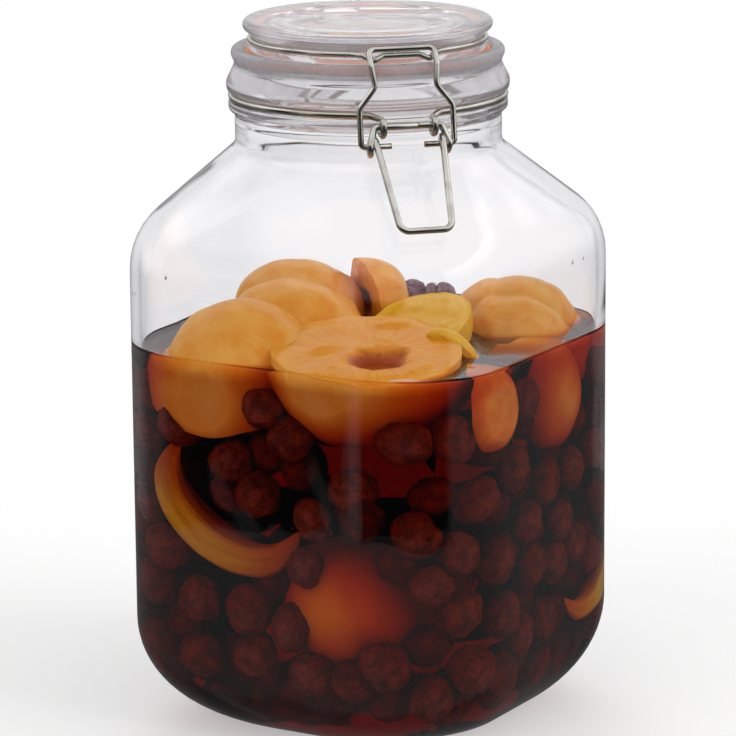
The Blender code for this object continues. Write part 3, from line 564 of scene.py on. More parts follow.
add_piece("jar_glass_body", body, JAR_GLASS, "jar", "jar_glass", "jar_body")

# %% [markdown]
# ## Seed bubbles
# Pressed glass keeps a few tiny bubbles of air, which show as dark specks on the upper sides. Each
# is a small ball, drawn out upwards, in the middle of the wall.

# %% Bubbles in the glass
BUBBLE_UNIT = 0.001
BUBBLE_STRETCH = 1.6

# Bearing in degrees, height in metres and half width in millimetres
BUBBLES = (
    (-74, 0.1912, 0.5),
    (-91, 0.180, 0.4),
    (58, 0.1912, 0.5),
    (64, 0.1912, 0.4),
    (20, 0.150, 0.3),
    (-38, 0.095, 0.35),
)


def air_finish():
    """Air inside glass bends light the other way round, so its index is one over the glass's."""
    material, start, exit_node = new_finish("air bubble")
    bump = start.place().clouds(900.0, 2.0).bump(0.3, 0.00005)
    inputs = {"Roughness": 0.0, "IOR": 1.0 / GLASS_INDEX, "Normal": bump}
    join(start.node("ShaderNodeBsdfGlass", inputs=inputs), exit_node, "Surface")
    return material


bubbles = bmesh.new()
for bearing, z, size in BUBBLES:
    ring = squared(towards(bearing) * (CORNER_REACH - WALL / 2), CORNER_CENTRE)
    place = Matrix.Translation((ring.x, ring.y, z))
    stretch = Matrix.Diagonal((1.0, 1.0, BUBBLE_STRETCH, 1.0))
    scale = Matrix.Scale(size * BUBBLE_UNIT, 4)
    bmesh.ops.create_icosphere(bubbles, subdivisions=3, radius=1.0, matrix=place @ scale @ stretch)
add_piece("seed_bubbles", bubbles, air_finish(), "jar", "jar_glass")

# %% [markdown]
# ## Lid and rubber ring
# The lid is pressed glass too: a rolled rim, a groove for its wire, a plug that drops into the mouth
# and a dish in the top. The rubber ring lies on the seat inside the lip, so it shows only through
# the glass. Both are turned from an outline.

# %% Lid
LID_Z = SEAT_Z + 0.0030
LID_TOP = LID_Z + 0.0123
LID_RIM = MOUTH_RADIUS + 0.0085
LID_WIRE = 0.00115
LID_WIRE_Z = LID_Z + 0.0031 + LID_WIRE
LID_BAND = 0.0487
LID_BAND_HEIGHT = 0.0028
LID_WIRE_REACH = 0.0480
LID_DISH = 0.0028
LID_THICKNESS = 0.0085
LID_FACE = 0.005
PLUG_RADIUS = MOUTH_RADIUS - 0.0012
PLUG_DEPTH = 0.0045

lid_groove = LID_WIRE_REACH - LID_WIRE - 0.0003
lid_outline = outline(
    [
        (0.0, LID_TOP - LID_DISH, 0.0),
        (0.0256, LID_TOP - LID_DISH, 0.006),
        (0.0352, LID_TOP - 0.0002, 0.008),
        (0.0400, LID_TOP, 0.004),
        (LID_RIM - 0.0008, LID_TOP, 0.0026),
        (LID_RIM + 0.0003, LID_TOP - 0.0030, 0.0024),
        (lid_groove + 0.0016, LID_TOP - 0.0060, 0.0010),
        (lid_groove, LID_WIRE_Z + 0.0006, 0.0008),
        (lid_groove, LID_WIRE_Z - 0.0006, 0.0006),
        (LID_WIRE_REACH - 0.0006, LID_Z + LID_BAND_HEIGHT, 0.0003),
        (LID_BAND, LID_Z + LID_BAND_HEIGHT, 0.0005),
        (LID_BAND, LID_Z, 0.0005),
        (PLUG_RADIUS + 0.0004, LID_Z, 0.0006),
        (PLUG_RADIUS, LID_Z - PLUG_DEPTH, 0.0014),
        (PLUG_RADIUS - 0.0043, LID_Z - PLUG_DEPTH, 0.0014),
        (PLUG_RADIUS - 0.0060, LID_TOP - LID_THICKNESS, 0.003),
        (0.0, LID_TOP - LID_THICKNESS, 0.0),
    ]
)
lid = bmesh.new()
turn_outline(lid, spaced(lid_outline, LID_FACE))
add_piece("lid_pressed_glass", lid, LID_GLASS, "lid", "lid_glass", "lid_glass")


# %% Rubber finish
def rubber_finish():
    material, start, exit_node = new_finish("orange rubber")
    place = start.place()
    cloud = place.clouds(90.0, 3.0)
    grain = place.clouds(1600.0, 2.0)
    colour = cloud.step(0.3, 0.7).blend((0.76, 0.20, 0.05), (0.86, 0.27, 0.08))
    rough = cloud.step(0.2, 0.8, 0.40, 0.58)
    inputs = {"Base Color": colour, "Roughness": rough, "Normal": grain.bump(0.4, 0.0002)}
    join(start.node("ShaderNodeBsdfPrincipled", inputs=inputs), exit_node, "Surface")
    return material


# %% Rubber ring
ring_inner = MOUTH_RADIUS - 0.0003
ring_outer = ring_inner + 0.0078
ring_low = SEAT_Z + 0.0003
ring_high = ring_low + 0.0024
ring_middle = (ring_low + ring_high) / 2
ring_edge = 0.0007
rubber_ring = bmesh.new()
ring_corners = [
    (ring_inner, ring_middle, 0.0),
    (ring_inner, ring_high, ring_edge),
    (ring_outer, ring_high, ring_edge),
    (ring_outer, ring_low, ring_edge),
    (ring_inner, ring_low, ring_edge),
    (ring_inner, ring_middle, 0.0),
]
turn_outline(rubber_ring, outline(ring_corners)[:-1], closed=True)
add_piece("rubber_ring", rubber_ring, rubber_finish(), "lid", "gasket_rubber", "gasket")

# %% [markdown]
# ## Wires
# Every metal piece of the clasp is round wire, bent cold and cut flat at its ends. A path gives the
# wire's middle line, and a small circle is extruded along it from frame to frame. The frames turn
# as little as possible, so that the wire isn't twisted. The wires are the working part's own, with
# finer bends: the neck wire holds the clasp's pivot bar in two hooks and the lid's hinge at the back,
# the lid wire sits in the lid's groove, the bail reaches over its catch, and the lever tightens it.

# %% Sizes of the clasp
LID_CATCH_REACH = LID_WIRE_REACH + 0.0032
BAIL_WIRE = 0.0012
LEVER_WIRE = 0.00135
PLAY = 0.0003
PIVOT_REACH = NECK_RADIUS + 0.0065
PIVOT_Z = GROOVE_Z - 0.0038
HOOK_SPREAD = 0.0105
HOOK_DROP = 0.0004
HOOK_BEND = NECK_WIRE + PLAY + LEVER_WIRE
BAIL_FOOT_Z = PIVOT_Z - 0.0077
LOOP_SPREAD = 0.0150
LOOP_LEAD = 0.0013
LOOP_BEND = LEVER_WIRE + 0.00055 + BAIL_WIRE
BAIL_FOOT_SPREAD = LOOP_SPREAD + LOOP_LEAD + LEVER_WIRE + PLAY + BAIL_WIRE
BAIL_FOOT_END = 0.0068
BAIL_SHOULDER = 0.0191
BAIL_WAIST = 0.0124
BAIL_HEAD = 0.0135
BAIL_BAR_Z = LID_WIRE_Z + LID_WIRE + PLAY + BAIL_WIRE
LEVER_LENGTH = 0.0458
LEVER_HALF_WIDTH = 0.0104
LEVER_JOIN = 0.0041
GRIP_CLEARANCE = 0.0029
DIP_SPREAD = 0.0115
DIP_DEPTH = 0.0018
CATCH_HALF = 0.0075
HINGE_REACH = NECK_RADIUS + 0.0075
HINGE_Z = SEAT_Z + 0.0023
HINGE_HALF_WIDTH = 0.0125
EYE_SPREAD = 0.0080
EYE_BEND = NECK_WIRE + PLAY + LID_WIRE
RING_STEP = math.radians(2.5)
print("pivot bar", round(PIVOT_REACH, 4), "from the axis and", round(PIVOT_Z, 4), "up")


# %% Points and bends of the wires
def front(x, reach, z):
    """A point on the clasp's side of the jar, given its distance in front of the axis."""
    return Vector((x, -reach, z))


def rear(x, reach, z):
    return Vector((x, reach, z))


def ring_between(radius, z, start, end):
    """Corner points of a level ring from one bearing to another."""
    count = math.ceil(abs(math.radians(end - start)) / RING_STEP)
    bearings = [start + (end - start) * step / count for step in range(count + 1)]
    return [(towards(bearing) * radius + Vector((0.0, 0.0, z)), 0.0) for bearing in bearings]


def mirrored(corners):
    """The same corner points on the other side of the clasp, in the opposite order."""
    return [(Vector((-point.x, point.y, point.z)), radius) for point, radius in reversed(corners)]


def turn_about_bar(x, centre, z, radius, start, end, place, lead=0.0):
    """Points about a cross bar: angles from straight outward (0) to straight up (90)."""
    count = math.ceil(abs(math.radians(end - start)) / ARC_STEP)
    points = []
    for step in range(count + 1):
        share = step / count
        angle = math.radians(start + (end - start) * share)
        reach = centre + radius * math.cos(angle)
        points.append((place(x + lead * share, reach, z + radius * math.sin(angle)), 0.0))
    return points


# %% Paths of the neck wire and the lid wire
def neck_wire_path():
    """Hook, half of the ring and half of the raised bar, then the same mirrored."""
    hook = [(front(-HOOK_SPREAD, PIVOT_REACH - HOOK_BEND, PIVOT_Z - 0.2 * HOOK_DROP), 0.0)]
    hook += turn_about_bar(-HOOK_SPREAD, PIVOT_REACH, PIVOT_Z - HOOK_DROP, HOOK_BEND, 180, 360, front)
    hook += turn_about_bar(-HOOK_SPREAD, PIVOT_REACH, PIVOT_Z, HOOK_BEND, 0, 60, front)
    leave = math.degrees(math.asin((HOOK_SPREAD + 0.0065) / GROOVE_REACH))
    hook += [
        (front(-HOOK_SPREAD, PIVOT_REACH - 0.0015, GROOVE_Z - 0.0010), 0.0020),
        (front(-HOOK_SPREAD - 0.0037, GROOVE_REACH - 0.0008, GROOVE_Z), 0.0030),
    ]
    inner = math.degrees(math.asin((HINGE_HALF_WIDTH + 0.0045) / GROOVE_REACH))
    ring = ring_between(GROOVE_REACH, GROOVE_Z, -leave, -180 + inner)
    bar = [
        (rear(-HINGE_HALF_WIDTH - 0.0008, HINGE_REACH - 0.0035, GROOVE_Z), 0.0030),
        (rear(-HINGE_HALF_WIDTH, HINGE_REACH, GROOVE_Z + 0.0050), 0.0030),
        (rear(-HINGE_HALF_WIDTH, HINGE_REACH, HINGE_Z), 0.0028),
    ]
    half = hook + ring + bar
    return rounded(half + mirrored(half))


def lid_wire_path():
    """Dips and catch at the front, the ring in the lid's groove, an eye at each end."""
    leave = math.degrees(math.asin((DIP_SPREAD + 0.0075) / LID_WIRE_REACH))
    inner = math.degrees(math.asin((EYE_SPREAD + 0.0040) / LID_WIRE_REACH))
    eye = turn_about_bar(-EYE_SPREAD, HINGE_REACH, HINGE_Z, EYE_BEND, -155, 90, rear)
    arm = [
        (rear(-EYE_SPREAD, HINGE_REACH - 1.5 * EYE_BEND, LID_WIRE_Z), 0.0030),
        (rear(-EYE_SPREAD, LID_WIRE_REACH - 0.0003, LID_WIRE_Z), 0.0030),
    ]
    ring = ring_between(LID_WIRE_REACH, LID_WIRE_Z, -180 + inner, -leave)
    catch = [
        (front(-DIP_SPREAD - 0.0035, LID_WIRE_REACH - 0.0005, LID_WIRE_Z), 0.0020),
        (front(-DIP_SPREAD, LID_CATCH_REACH + 0.0012, LID_WIRE_Z - DIP_DEPTH), 0.0015),
        (front(-CATCH_HALF, LID_CATCH_REACH, LID_WIRE_Z), 0.0015),
    ]
    half = eye + arm + ring + catch
    return rounded(half + mirrored(half))


# %% Paths of the bail and the lever
def bail_path():
    """One foot, up past the bead and the flange, across over the catch and down again."""
    bead = math.sqrt(BEAD_REACH**2 - BAIL_WAIST**2)
    flange = math.sqrt(FLANGE_REACH**2 - BAIL_HEAD**2)
    off = BAIL_WIRE + 0.0006
    half = [
        (front(-BAIL_FOOT_END, PIVOT_REACH, BAIL_FOOT_Z), 0.0),
        (front(-BAIL_FOOT_SPREAD, PIVOT_REACH, BAIL_FOOT_Z), 0.0018),
        (front(-BAIL_SHOULDER, bead + off + 0.0004, GROOVE_Z + 0.0036), 0.0045),
        (front(-BAIL_WAIST, bead + off, GROOVE_Z + 0.0120), 0.0045),
        (front(-BAIL_HEAD, flange + off, LIP_Z + 0.0004), 0.0030),
        (front(-BAIL_HEAD, LID_CATCH_REACH, BAIL_BAR_Z), 0.0026),
    ]
    return rounded(half + mirrored(half))


def grip_place():
    """Reach and height of the lever's grip, which lies a little off the sloping shoulder."""
    off = LEVER_WIRE + GRIP_CLEARANCE
    length = math.hypot(1.0, SLOPE)
    start = Vector((NECK_RADIUS + off * SLOPE / length, SHOULDER_TOP + off / length))
    along = Vector((1.0, -SLOPE)) / length
    pivot = Vector((PIVOT_REACH, PIVOT_Z))
    near = (pivot - start).dot(along)
    away = (pivot - start - along * near).length
    grip = start + along * (near + math.sqrt(LEVER_LENGTH**2 - away**2))
    return grip.x, grip.y


def lever_path():
    """Pivot bar, crank, loop round the bail's foot, leg and half of the grip, then mirrored."""
    reach, z = grip_place()
    leg = math.degrees(math.atan2(z - BAIL_FOOT_Z, reach - PIVOT_REACH))
    outer_loop = -LOOP_SPREAD - LOOP_LEAD
    half = [(front(-HOOK_SPREAD - NECK_WIRE - 0.0018, PIVOT_REACH, PIVOT_Z), 0.0016)]
    half += turn_about_bar(
        outer_loop, PIVOT_REACH, BAIL_FOOT_Z, LOOP_BEND, 20, leg + 90 - 360, front, 2 * LOOP_LEAD
    )
    half.append((front(-LEVER_HALF_WIDTH, reach, z), 0.0040))
    first = (front(LEVER_JOIN - PLAY / 2, PIVOT_REACH, PIVOT_Z), 0.0)
    last = (front(LEVER_JOIN + PLAY / 2, PIVOT_REACH, PIVOT_Z), 0.0)
    return rounded([first] + half + mirrored(half) + [last])


# %% Drawing a wire along its path
WIRE_SIDES = 14
END_BEVEL = 0.0001
RUST_REACH = 0.0045
END_ANGLE = math.radians(50)


def wire_frames(path):
    """A frame at each point, looking along the wire and turning no more than it must."""
    points = path[:1]
    points += [point for before, point in zip(path, path[1:]) if (point - before).length > HAIR]
    ahead = [(after - before).normalized() for before, after in zip(points, points[1:])]
    heads = [ahead[0]] + [(one + two).normalized() for one, two in zip(ahead, ahead[1:])] + [ahead[-1]]
    side = heads[0].orthogonal().normalized()
    frames = []
    for index, (point, head) in enumerate(zip(points, heads)):
        if index:
            side = heads[index - 1].rotation_difference(head) @ side
        side = (side - head * side.dot(head)).normalized()
        matrix = Matrix((side, head.cross(side), head)).transposed().to_4x4()
        matrix.translation = point
        frames.append(matrix)
    return frames


def drawn_wire(name, path, radius, material, body_name, node):
    bm = bmesh.new()
    frames = wire_frames(path)
    ring = bmesh.ops.create_circle(
        bm, cap_ends=False, segments=WIRE_SIDES, radius=radius, matrix=frames[0]
    )["verts"]
    edges = list({edge for vert in ring for edge in vert.link_edges})
    for earlier, later in zip(frames, frames[1:]):
        made = bmesh.ops.extrude_edge_only(bm, edges=edges)["geom"]
        verts = [item for item in made if isinstance(item, bmesh.types.BMVert)]
        edges = [item for item in made if isinstance(item, bmesh.types.BMEdge)]
        bmesh.ops.transform(bm, matrix=later @ earlier.inverted(), verts=verts)
    ends = [edge for edge in bm.edges if edge.is_boundary]
    caps = bmesh.ops.holes_fill(bm, edges=ends, sides=WIRE_SIDES)["faces"]
    rust = bm.verts.layers.float.new("rust")
    tips = [face.calc_center_median() for face in caps]
    for vert in bm.verts:
        vert[rust] = max(1.0 - (vert.co - tip).length / RUST_REACH for tip in tips)
    bmesh.ops.recalc_face_normals(bm, faces=bm.faces[:])
    rims = list({edge for face in caps for edge in face.edges})
    bmesh.ops.bevel(
        bm, geom=rims, offset=END_BEVEL, affect="EDGES", segments=2, profile=0.5, material=-1
    )
    piece = add_piece(name, bm, material, body_name, "steel_wire", node)
    piece.data.set_sharp_from_angle(angle=END_ANGLE)


# %% [markdown]
# ## Steel
# The wire is drawn through a die, which leaves it bright with faint streaks, and a thin coat of zinc
# gives it a warm grey. Where hands and glass rub it, it has gone a little dull, and its cut ends,
# which have no zinc, have begun to rust. Noise on the piece's own coordinates moves the roughness and
# the colour, and a finer one scratches the surface. Each point of a wire knows how near it is to a cut
# end, which is where the rust shows.


# %% Steel finish
RUST = (0.42, 0.20, 0.08)
DULLED = 0.78
WORN_ROUGHER = 0.16


def steel_finish(name, colour, rough):
    material, start, exit_node = new_finish(name)
    place = start.place()
    rubbed = place.clouds(140.0, 3.0)
    streaks = place.clouds(2200.0, 2.0)
    dull = tuple(DULLED * channel for channel in colour)
    tone = rubbed.step(0.35, 0.75).blend(colour, dull)
    near_cut = start.layer("rust", "Fac")
    rusty = (near_cut * 0.8 + rubbed * 0.6).step(0.62, 1.05)
    tone = rusty.blend(tone, RUST)
    inputs = {
        "Base Color": tone,
        "Metallic": 1.0,
        "Roughness": rubbed.step(0.3, 0.8, rough, rough + WORN_ROUGHER),
        "Normal": streaks.bump(0.25, 0.00005),
    }
    join(start.node("ShaderNodeBsdfPrincipled", inputs=inputs), exit_node, "Surface")
    return material


RING_STEEL = steel_finish("ring wire steel", (0.60, 0.59, 0.52), 0.16)
CLASP_STEEL = steel_finish("clasp wire steel", (0.66, 0.65, 0.59), 0.12)

# %% The four wires
drawn_wire("neck_ring_wire", neck_wire_path(), NECK_WIRE, RING_STEEL, "jar", "neck_wire")
drawn_wire("lid_ring_wire", lid_wire_path(), LID_WIRE, RING_STEEL, "lid", "lid_wire")
drawn_wire("bail_loop", bail_path(), BAIL_WIRE, CLASP_STEEL, "bail", "bail")
drawn_wire("lever_loop", lever_path(), LEVER_WIRE, CLASP_STEEL, "lever", "lever")

# %% [markdown]
# ## Syrup
# The syrup fills the jar to a level a little above half. It touches the glass, so its outer face is
# drawn just inside the wall's inner face, by a hair: with air between them the two would mirror. At
# the glass it climbs a millimetre or so, which shows as a dark line. Its colour comes from depth
# alone: red light passes far, green less far, and blue is gone at once. So a thin layer of it looks
# orange and a deep one dark red.

# %% Syrup finish
SYRUP_LEVEL = 0.1575
SYRUP_INDEX = 1.38


def syrup_finish():
    material, start, exit_node = new_finish("red syrup")
    ripples = start.place().clouds(35.0, 1.0)
    liquid = clear_surface(start, 0.0, SYRUP_INDEX, ripples.bump(0.5, 0.0004))
    join(lets_light_on(start, liquid, (1.0, 1.0, 1.0)), exit_node, "Surface")
    join(depth_colour(start, (0.92, 0.61, 0.15), 200.0), exit_node, "Volume")
    return material


# %% Body of syrup
MENISCUS = 0.0014
MENISCUS_WIDTH = 0.006
MENISCUS_STEPS = 5
SOAK = 0.0001
CLOSE = 1e-5
SOAK_BELOW = FLOOR + 0.006

inner_wall = CORNER_REACH - WALL
syrup_path = [(0.0, SYRUP_LEVEL), (inner_wall - MENISCUS_WIDTH, SYRUP_LEVEL)]
for step in range(1, MENISCUS_STEPS + 1):
    share = step / MENISCUS_STEPS
    reach = inner_wall - MENISCUS_WIDTH * (1 - share)
    syrup_path.append((reach, SYRUP_LEVEL + MENISCUS * share**3))
syrup_path += [(reach, z) for reach, z in inner if z < SYRUP_LEVEL]
syrup = bmesh.new()
turn_outline(syrup, spaced(syrup_path, LONGEST_FACE))
for vert in syrup.verts:
    reach = math.hypot(vert.co.x, vert.co.y)
    on_top = vert.co.z > SYRUP_LEVEL - CLOSE
    centre = corner_centre(reach, vert.co.z, True)
    if on_top:
        centre = CORNER_CENTRE * reach / inner_wall
    vert.co = squared(vert.co, centre)
    if reach > inner_wall - CLOSE or not on_top:
        away = Vector((vert.co.x, vert.co.y, 0.0)).normalized()
        vert.co = waved(vert.co) + away * SOAK
        if vert.co.z < SOAK_BELOW:
            vert.co.z -= SOAK
add_piece("syrup_body", syrup, syrup_finish(), "jar", "syrup", "syrup")

# %% [markdown]
# ## Peach halves
# A peach is halved along its crease and stoned, then cooked soft. Its skinned side is a dome with a
# shallow groove, its cut side is nearly flat, with a rough red hollow where the stone was. Each half
# starts as a fine icosphere: the lower half of the ball is pressed up into the cut face, and a noise
# makes the dome uneven. Each point also keeps its place on the round ball, so that the finish can
# draw fibres that run round the fruit and a red stain in the hollow, however the fruit lies. What is
# above the syrup gleams, and what is below its line has taken up its colour.

# %% Peach finish
DYE = (0.34, 0.045, 0.004)
DYE_DEPTH = 0.007


def wet_inputs(start):
    """What all fruit has: soft flesh that light enters, and a wet gleam on what is above the syrup."""
    height = start.place().axis("Z")
    return {
        "Coat Weight": height.step(SYRUP_LEVEL, SYRUP_LEVEL + 0.002, 0.0, 0.4),
        "Coat Roughness": 0.12,
        "Coat IOR": 1.4,
        "Specular IOR Level": 0.03,
        "Subsurface Weight": 0.35,
        "Subsurface Scale": 0.006,
    }


def peach_finish(name, dome_colour, dome_light, flesh_colour, flesh_light, hollow_colour, dyed):
    """Two colours each for the dome and the cut face, one for the hollow, and how far the dye goes."""
    material, start, exit_node = new_finish(name)
    local = start.layer("local", "Vector")
    parts = {axis: local.axis(axis) for axis in "XYZ"}
    around = start.maths("ARCTAN2", parts["Y"], parts["X"])
    width = start.maths("SQRT", parts["X"] * parts["X"] + parts["Y"] * parts["Y"])
    spokes = start.node(
        "ShaderNodeCombineXYZ", inputs={0: around * 7.0, 1: width * 1.5, 2: parts["Z"] * 1.5}
    )
    fibre = spokes.clouds(2.2, 4.0)
    cloud = local.clouds(2.4, 3.0)
    fine = local.clouds(26.0, 3.0)
    dome = (fibre * 0.25 + cloud * 0.75).step(0.36, 0.66).blend(dome_colour, dome_light)
    flesh = fibre.step(0.40, 0.66).blend(flesh_colour, flesh_light)
    edge = width.step(0.72, 0.97)
    flesh = edge.blend(flesh, flesh_light)
    hollow = start.layer("hollow", "Fac")
    stain = (hollow + (fibre - 0.5) * 0.6 + (fine - 0.5) * 0.4).step(0.25, 0.95)
    flesh = stain.blend(flesh, hollow_colour)
    cut = parts["Z"].step(-0.30, -0.02, 1.0, 0.0)
    colour = cut.blend(dome, flesh)
    soaked = start.place().axis("Z").step(SYRUP_LEVEL - DYE_DEPTH, SYRUP_LEVEL + 0.0005, dyed, 0.0)
    colour = soaked.blend(colour, DYE)
    relief = fibre * (0.08 + cut * 0.18) + fine * 0.4 * (hollow + 0.25)
    bump = relief.bump(0.6, 0.0009)
    skin = {"Base Color": colour, "Roughness": fine.step(0.3, 0.7, 0.34, 0.5), "Normal": bump}
    fruit = start.node("ShaderNodeBsdfPrincipled", inputs={**skin, **wet_inputs(start)})
    join(fruit, exit_node, "Surface")
    return material


PALE_PEACH = peach_finish(
    "pale peach",
    dome_colour=(0.82, 0.31, 0.03),
    dome_light=(0.88, 0.42, 0.08),
    flesh_colour=(0.80, 0.28, 0.014),
    flesh_light=(0.85, 0.35, 0.03),
    hollow_colour=(0.42, 0.08, 0.02),
    dyed=0.70,
)
GOLD_PEACH = peach_finish(
    "golden peach",
    dome_colour=(0.78, 0.38, 0.02),
    dome_light=(0.84, 0.48, 0.05),
    flesh_colour=(0.80, 0.40, 0.015),
    flesh_light=(0.85, 0.47, 0.03),
    hollow_colour=(0.74, 0.30, 0.02),
    dyed=0.5,
)
RED_PEACH = peach_finish(
    "dyed peach",
    dome_colour=(0.60, 0.14, 0.02),
    dome_light=(0.70, 0.22, 0.03),
    flesh_colour=(0.62, 0.16, 0.02),
    flesh_light=(0.72, 0.23, 0.03),
    hollow_colour=(0.30, 0.05, 0.01),
    dyed=0.3,
)
GREEN_PEACH = peach_finish(
    "half ripe peach",
    dome_colour=(0.42, 0.28, 0.02),
    dome_light=(0.52, 0.38, 0.04),
    flesh_colour=(0.48, 0.33, 0.03),
    flesh_light=(0.58, 0.44, 0.06),
    hollow_colour=(0.40, 0.20, 0.02),
    dyed=0.4,
)


# %% Keeping fruit off the glass
GLASS_ROOM = 0.0003
FRUIT_ROOM = 0.0003


def ring_distance(bearing, reach, centre):
    """Distance from the axis, at a bearing, to a squared ring with this reach at its corners."""
    off = math.radians(abs((bearing + 45.0) % 90.0 - 45.0))
    radius = reach - centre
    across = centre * math.sin(off)
    if radius > across:
        distance = centre * math.cos(off) + math.sqrt(radius**2 - across**2)
        if distance * math.sin(off) < distance * math.cos(off) - centre:
            return distance
    return (centre / math.sqrt(2) + radius) / math.cos(math.radians(45) - off)


def wall_distance(bearing, inset):
    """Distance from the axis, at a bearing, to a line that runs an inset inside the glass."""
    return ring_distance(bearing, CORNER_REACH - WALL - GLASS_ROOM - inset, CORNER_CENTRE)


def by_the_glass(bearing, inset, z):
    """Point at a bearing and a height that lies an inset inside the glass."""
    point = towards(bearing) * wall_distance(bearing, inset)
    point.z = z
    return point


def settled(point):
    """The same point, or the place where the jar's inner wall holds it back."""
    reach = CORNER_REACH - WALL
    if point.z < HEEL_TOP:
        rise = min(max((point.z - FLOOR) / (HEEL_TOP - FLOOR), 0.0), 1.0)
        foot = FOOT_RADIUS - WALL / 2
        reach = foot + (reach - foot) * math.sqrt(1.0 - (1.0 - rise) ** 2)
    bearing = bearing_of(point)
    limit = ring_distance(bearing, reach - FRUIT_ROOM, corner_centre(reach, point.z, True))
    distance = math.hypot(point.x, point.y)
    if distance > limit:
        return Vector((point.x * limit / distance, point.y * limit / distance, point.z))
    return point


# %% Helpers for fruit
def smooth(low, high, value):
    share = min(max((value - low) / (high - low), 0.0), 1.0)
    return share * share * (3 - 2 * share)


def lean(tilt, bearing):
    """Turn that leans the upright axis by a tilt towards a bearing."""
    axis = Vector((0.0, 0.0, 1.0)).cross(towards(bearing))
    return Matrix.Rotation(math.radians(tilt), 4, axis)


def fruit_ball(detail):
    """A fine ball with the two layers that the fruit finishes read."""
    bm = bmesh.new()
    layers = bm.verts.layers.float_vector.new("local"), bm.verts.layers.float.new("hollow")
    bmesh.ops.create_icosphere(bm, subdivisions=detail, radius=1.0)
    return bm, *layers


def add_fruit(name, bm, place, turn, material, slot_name, node):
    """Puts a finished fruit in its place, where the glass holds it back, and adds it to the jar."""
    bmesh.ops.transform(bm, matrix=Matrix.Translation(place) @ turn, verts=bm.verts[:])
    for vert in bm.verts:
        vert.co = settled(vert.co)
    return add_piece(name, bm, material, "jar", slot_name, *([node] if node else []))


# %% Shape of a peach half
# Where the stone lay and how wide it was, as shares of the peach's radius
PIT_X = 0.14
PIT_Y = 0.16
PIT_WIDTH = 0.30
PIT_LENGTH = 0.38
PIT_DEPTH = 0.16
CUT_FACE = 0.05
DOME = 0.95
FRUIT_DETAIL = 6


def peach_half(name, place, radius, turn, material, node, hollow=PIT_DEPTH, seed=0, flat=DOME):
    """A peach half whose cut face's middle is at place. Its dome looks along the turn's +Z."""
    bm, local, stained = fruit_ball(FRUIT_DETAIL)
    drift = Vector((seed * 3.1, seed * 1.7, seed * 2.3))
    for vert in bm.verts:
        ball = vert.co.copy()
        vert[local] = ball
        width = math.hypot(ball.x, ball.y)
        lumps = 0.040 * noise.noise(ball * 1.4 + drift) + 0.006 * noise.noise(ball * 5.0 + drift)
        groove = 0.018 * math.exp(-((ball.x / 0.16) ** 2)) * smooth(-0.2, 0.5, ball.z)
        size = 1.0 + lumps - groove
        x, y, z = ball.x * size, ball.y * size, ball.z * size * flat
        if ball.z < 0.0:
            pit = math.hypot((ball.x - PIT_X) / PIT_WIDTH, (ball.y - PIT_Y) / PIT_LENGTH)
            pit += 0.45 * noise.noise(ball * 3.2 + drift)
            depth = hollow * (1.0 - smooth(0.35, 1.15, pit))
            rough = 0.045 * noise.noise(ball * 9.0 + drift) * smooth(1.5, 0.5, pit)
            z = -min(math.sqrt(max(0.0, 1.0 - width * width)), CUT_FACE) + depth + rough
            z += 0.03 * noise.noise(ball * 3.0 + drift)
            vert[stained] = 1.0 - smooth(0.55, 1.35, pit)
        vert.co = Vector((x, y, z)) * radius
    return add_fruit(name, bm, place, turn, material, "peach_flesh", node)


# %% Shape of a peach slice
SLICE_SPREAD = 45.0
SLICE_BEND = 88.0
SLICE_HOLLOW = 0.62
SLICE_SQUARE = 0.35


def peach_slice(name, place, radius, turn, material, node=None, seed=0):
    """A crescent: a fine ball bent round the place, its tips along the turn's X, its skin along +Z."""
    bm, local, stained = fruit_ball(FRUIT_DETAIL)
    drift = Vector((seed * 3.1, seed * 1.7, seed * 2.3))
    middle = (1.0 + SLICE_HOLLOW) / 2
    for vert in bm.verts:
        ball = vert.co.copy()
        vert[local] = ball
        widest = max(abs(ball.y), abs(ball.z), 1e-3)
        fill = (math.hypot(ball.y, ball.z) / widest) ** SLICE_SQUARE
        lumps = 1.0 + 0.10 * noise.noise(ball * 1.8 + drift) + 0.03 * noise.noise(ball * 6.0 + drift)
        across = math.radians(SLICE_SPREAD / 2) * ball.y * fill * lumps
        out = middle + (1.0 - middle) * ball.z * fill * lumps
        along = math.radians(SLICE_BEND) * ball.x
        arm = math.cos(along) ** 0.6
        vert[stained] = smooth(0.2, -0.8, ball.z) * 0.35
        outward = Vector((math.sin(along), math.sin(across) * arm, math.cos(across) * arm))
        vert.co = outward * (out * radius)
    return add_fruit(name, bm, place, turn, material, "peach_flesh", node)


# %% [markdown]
# ## Where the peaches lie
# Nine halves float in the top of the syrup, some dome up, some showing their cut side. Two more
# halves and two slices lie against the glass lower down. Each stands for a solid of the working part,
# at the same place. A sliver of flesh that has come off lies beside the largest half. Places are in
# millimetres and turns in degrees. Heights in the jar are those of a syrup line at 157 mm.

# %% Floating and sunken peaches
MM = 0.001
FRUIT_RISE = SYRUP_LEVEL / 157
PRESSED = 0.0008
SHALLOW_PIT = 0.04
BULGE_WITH_DEPTH = 0.022

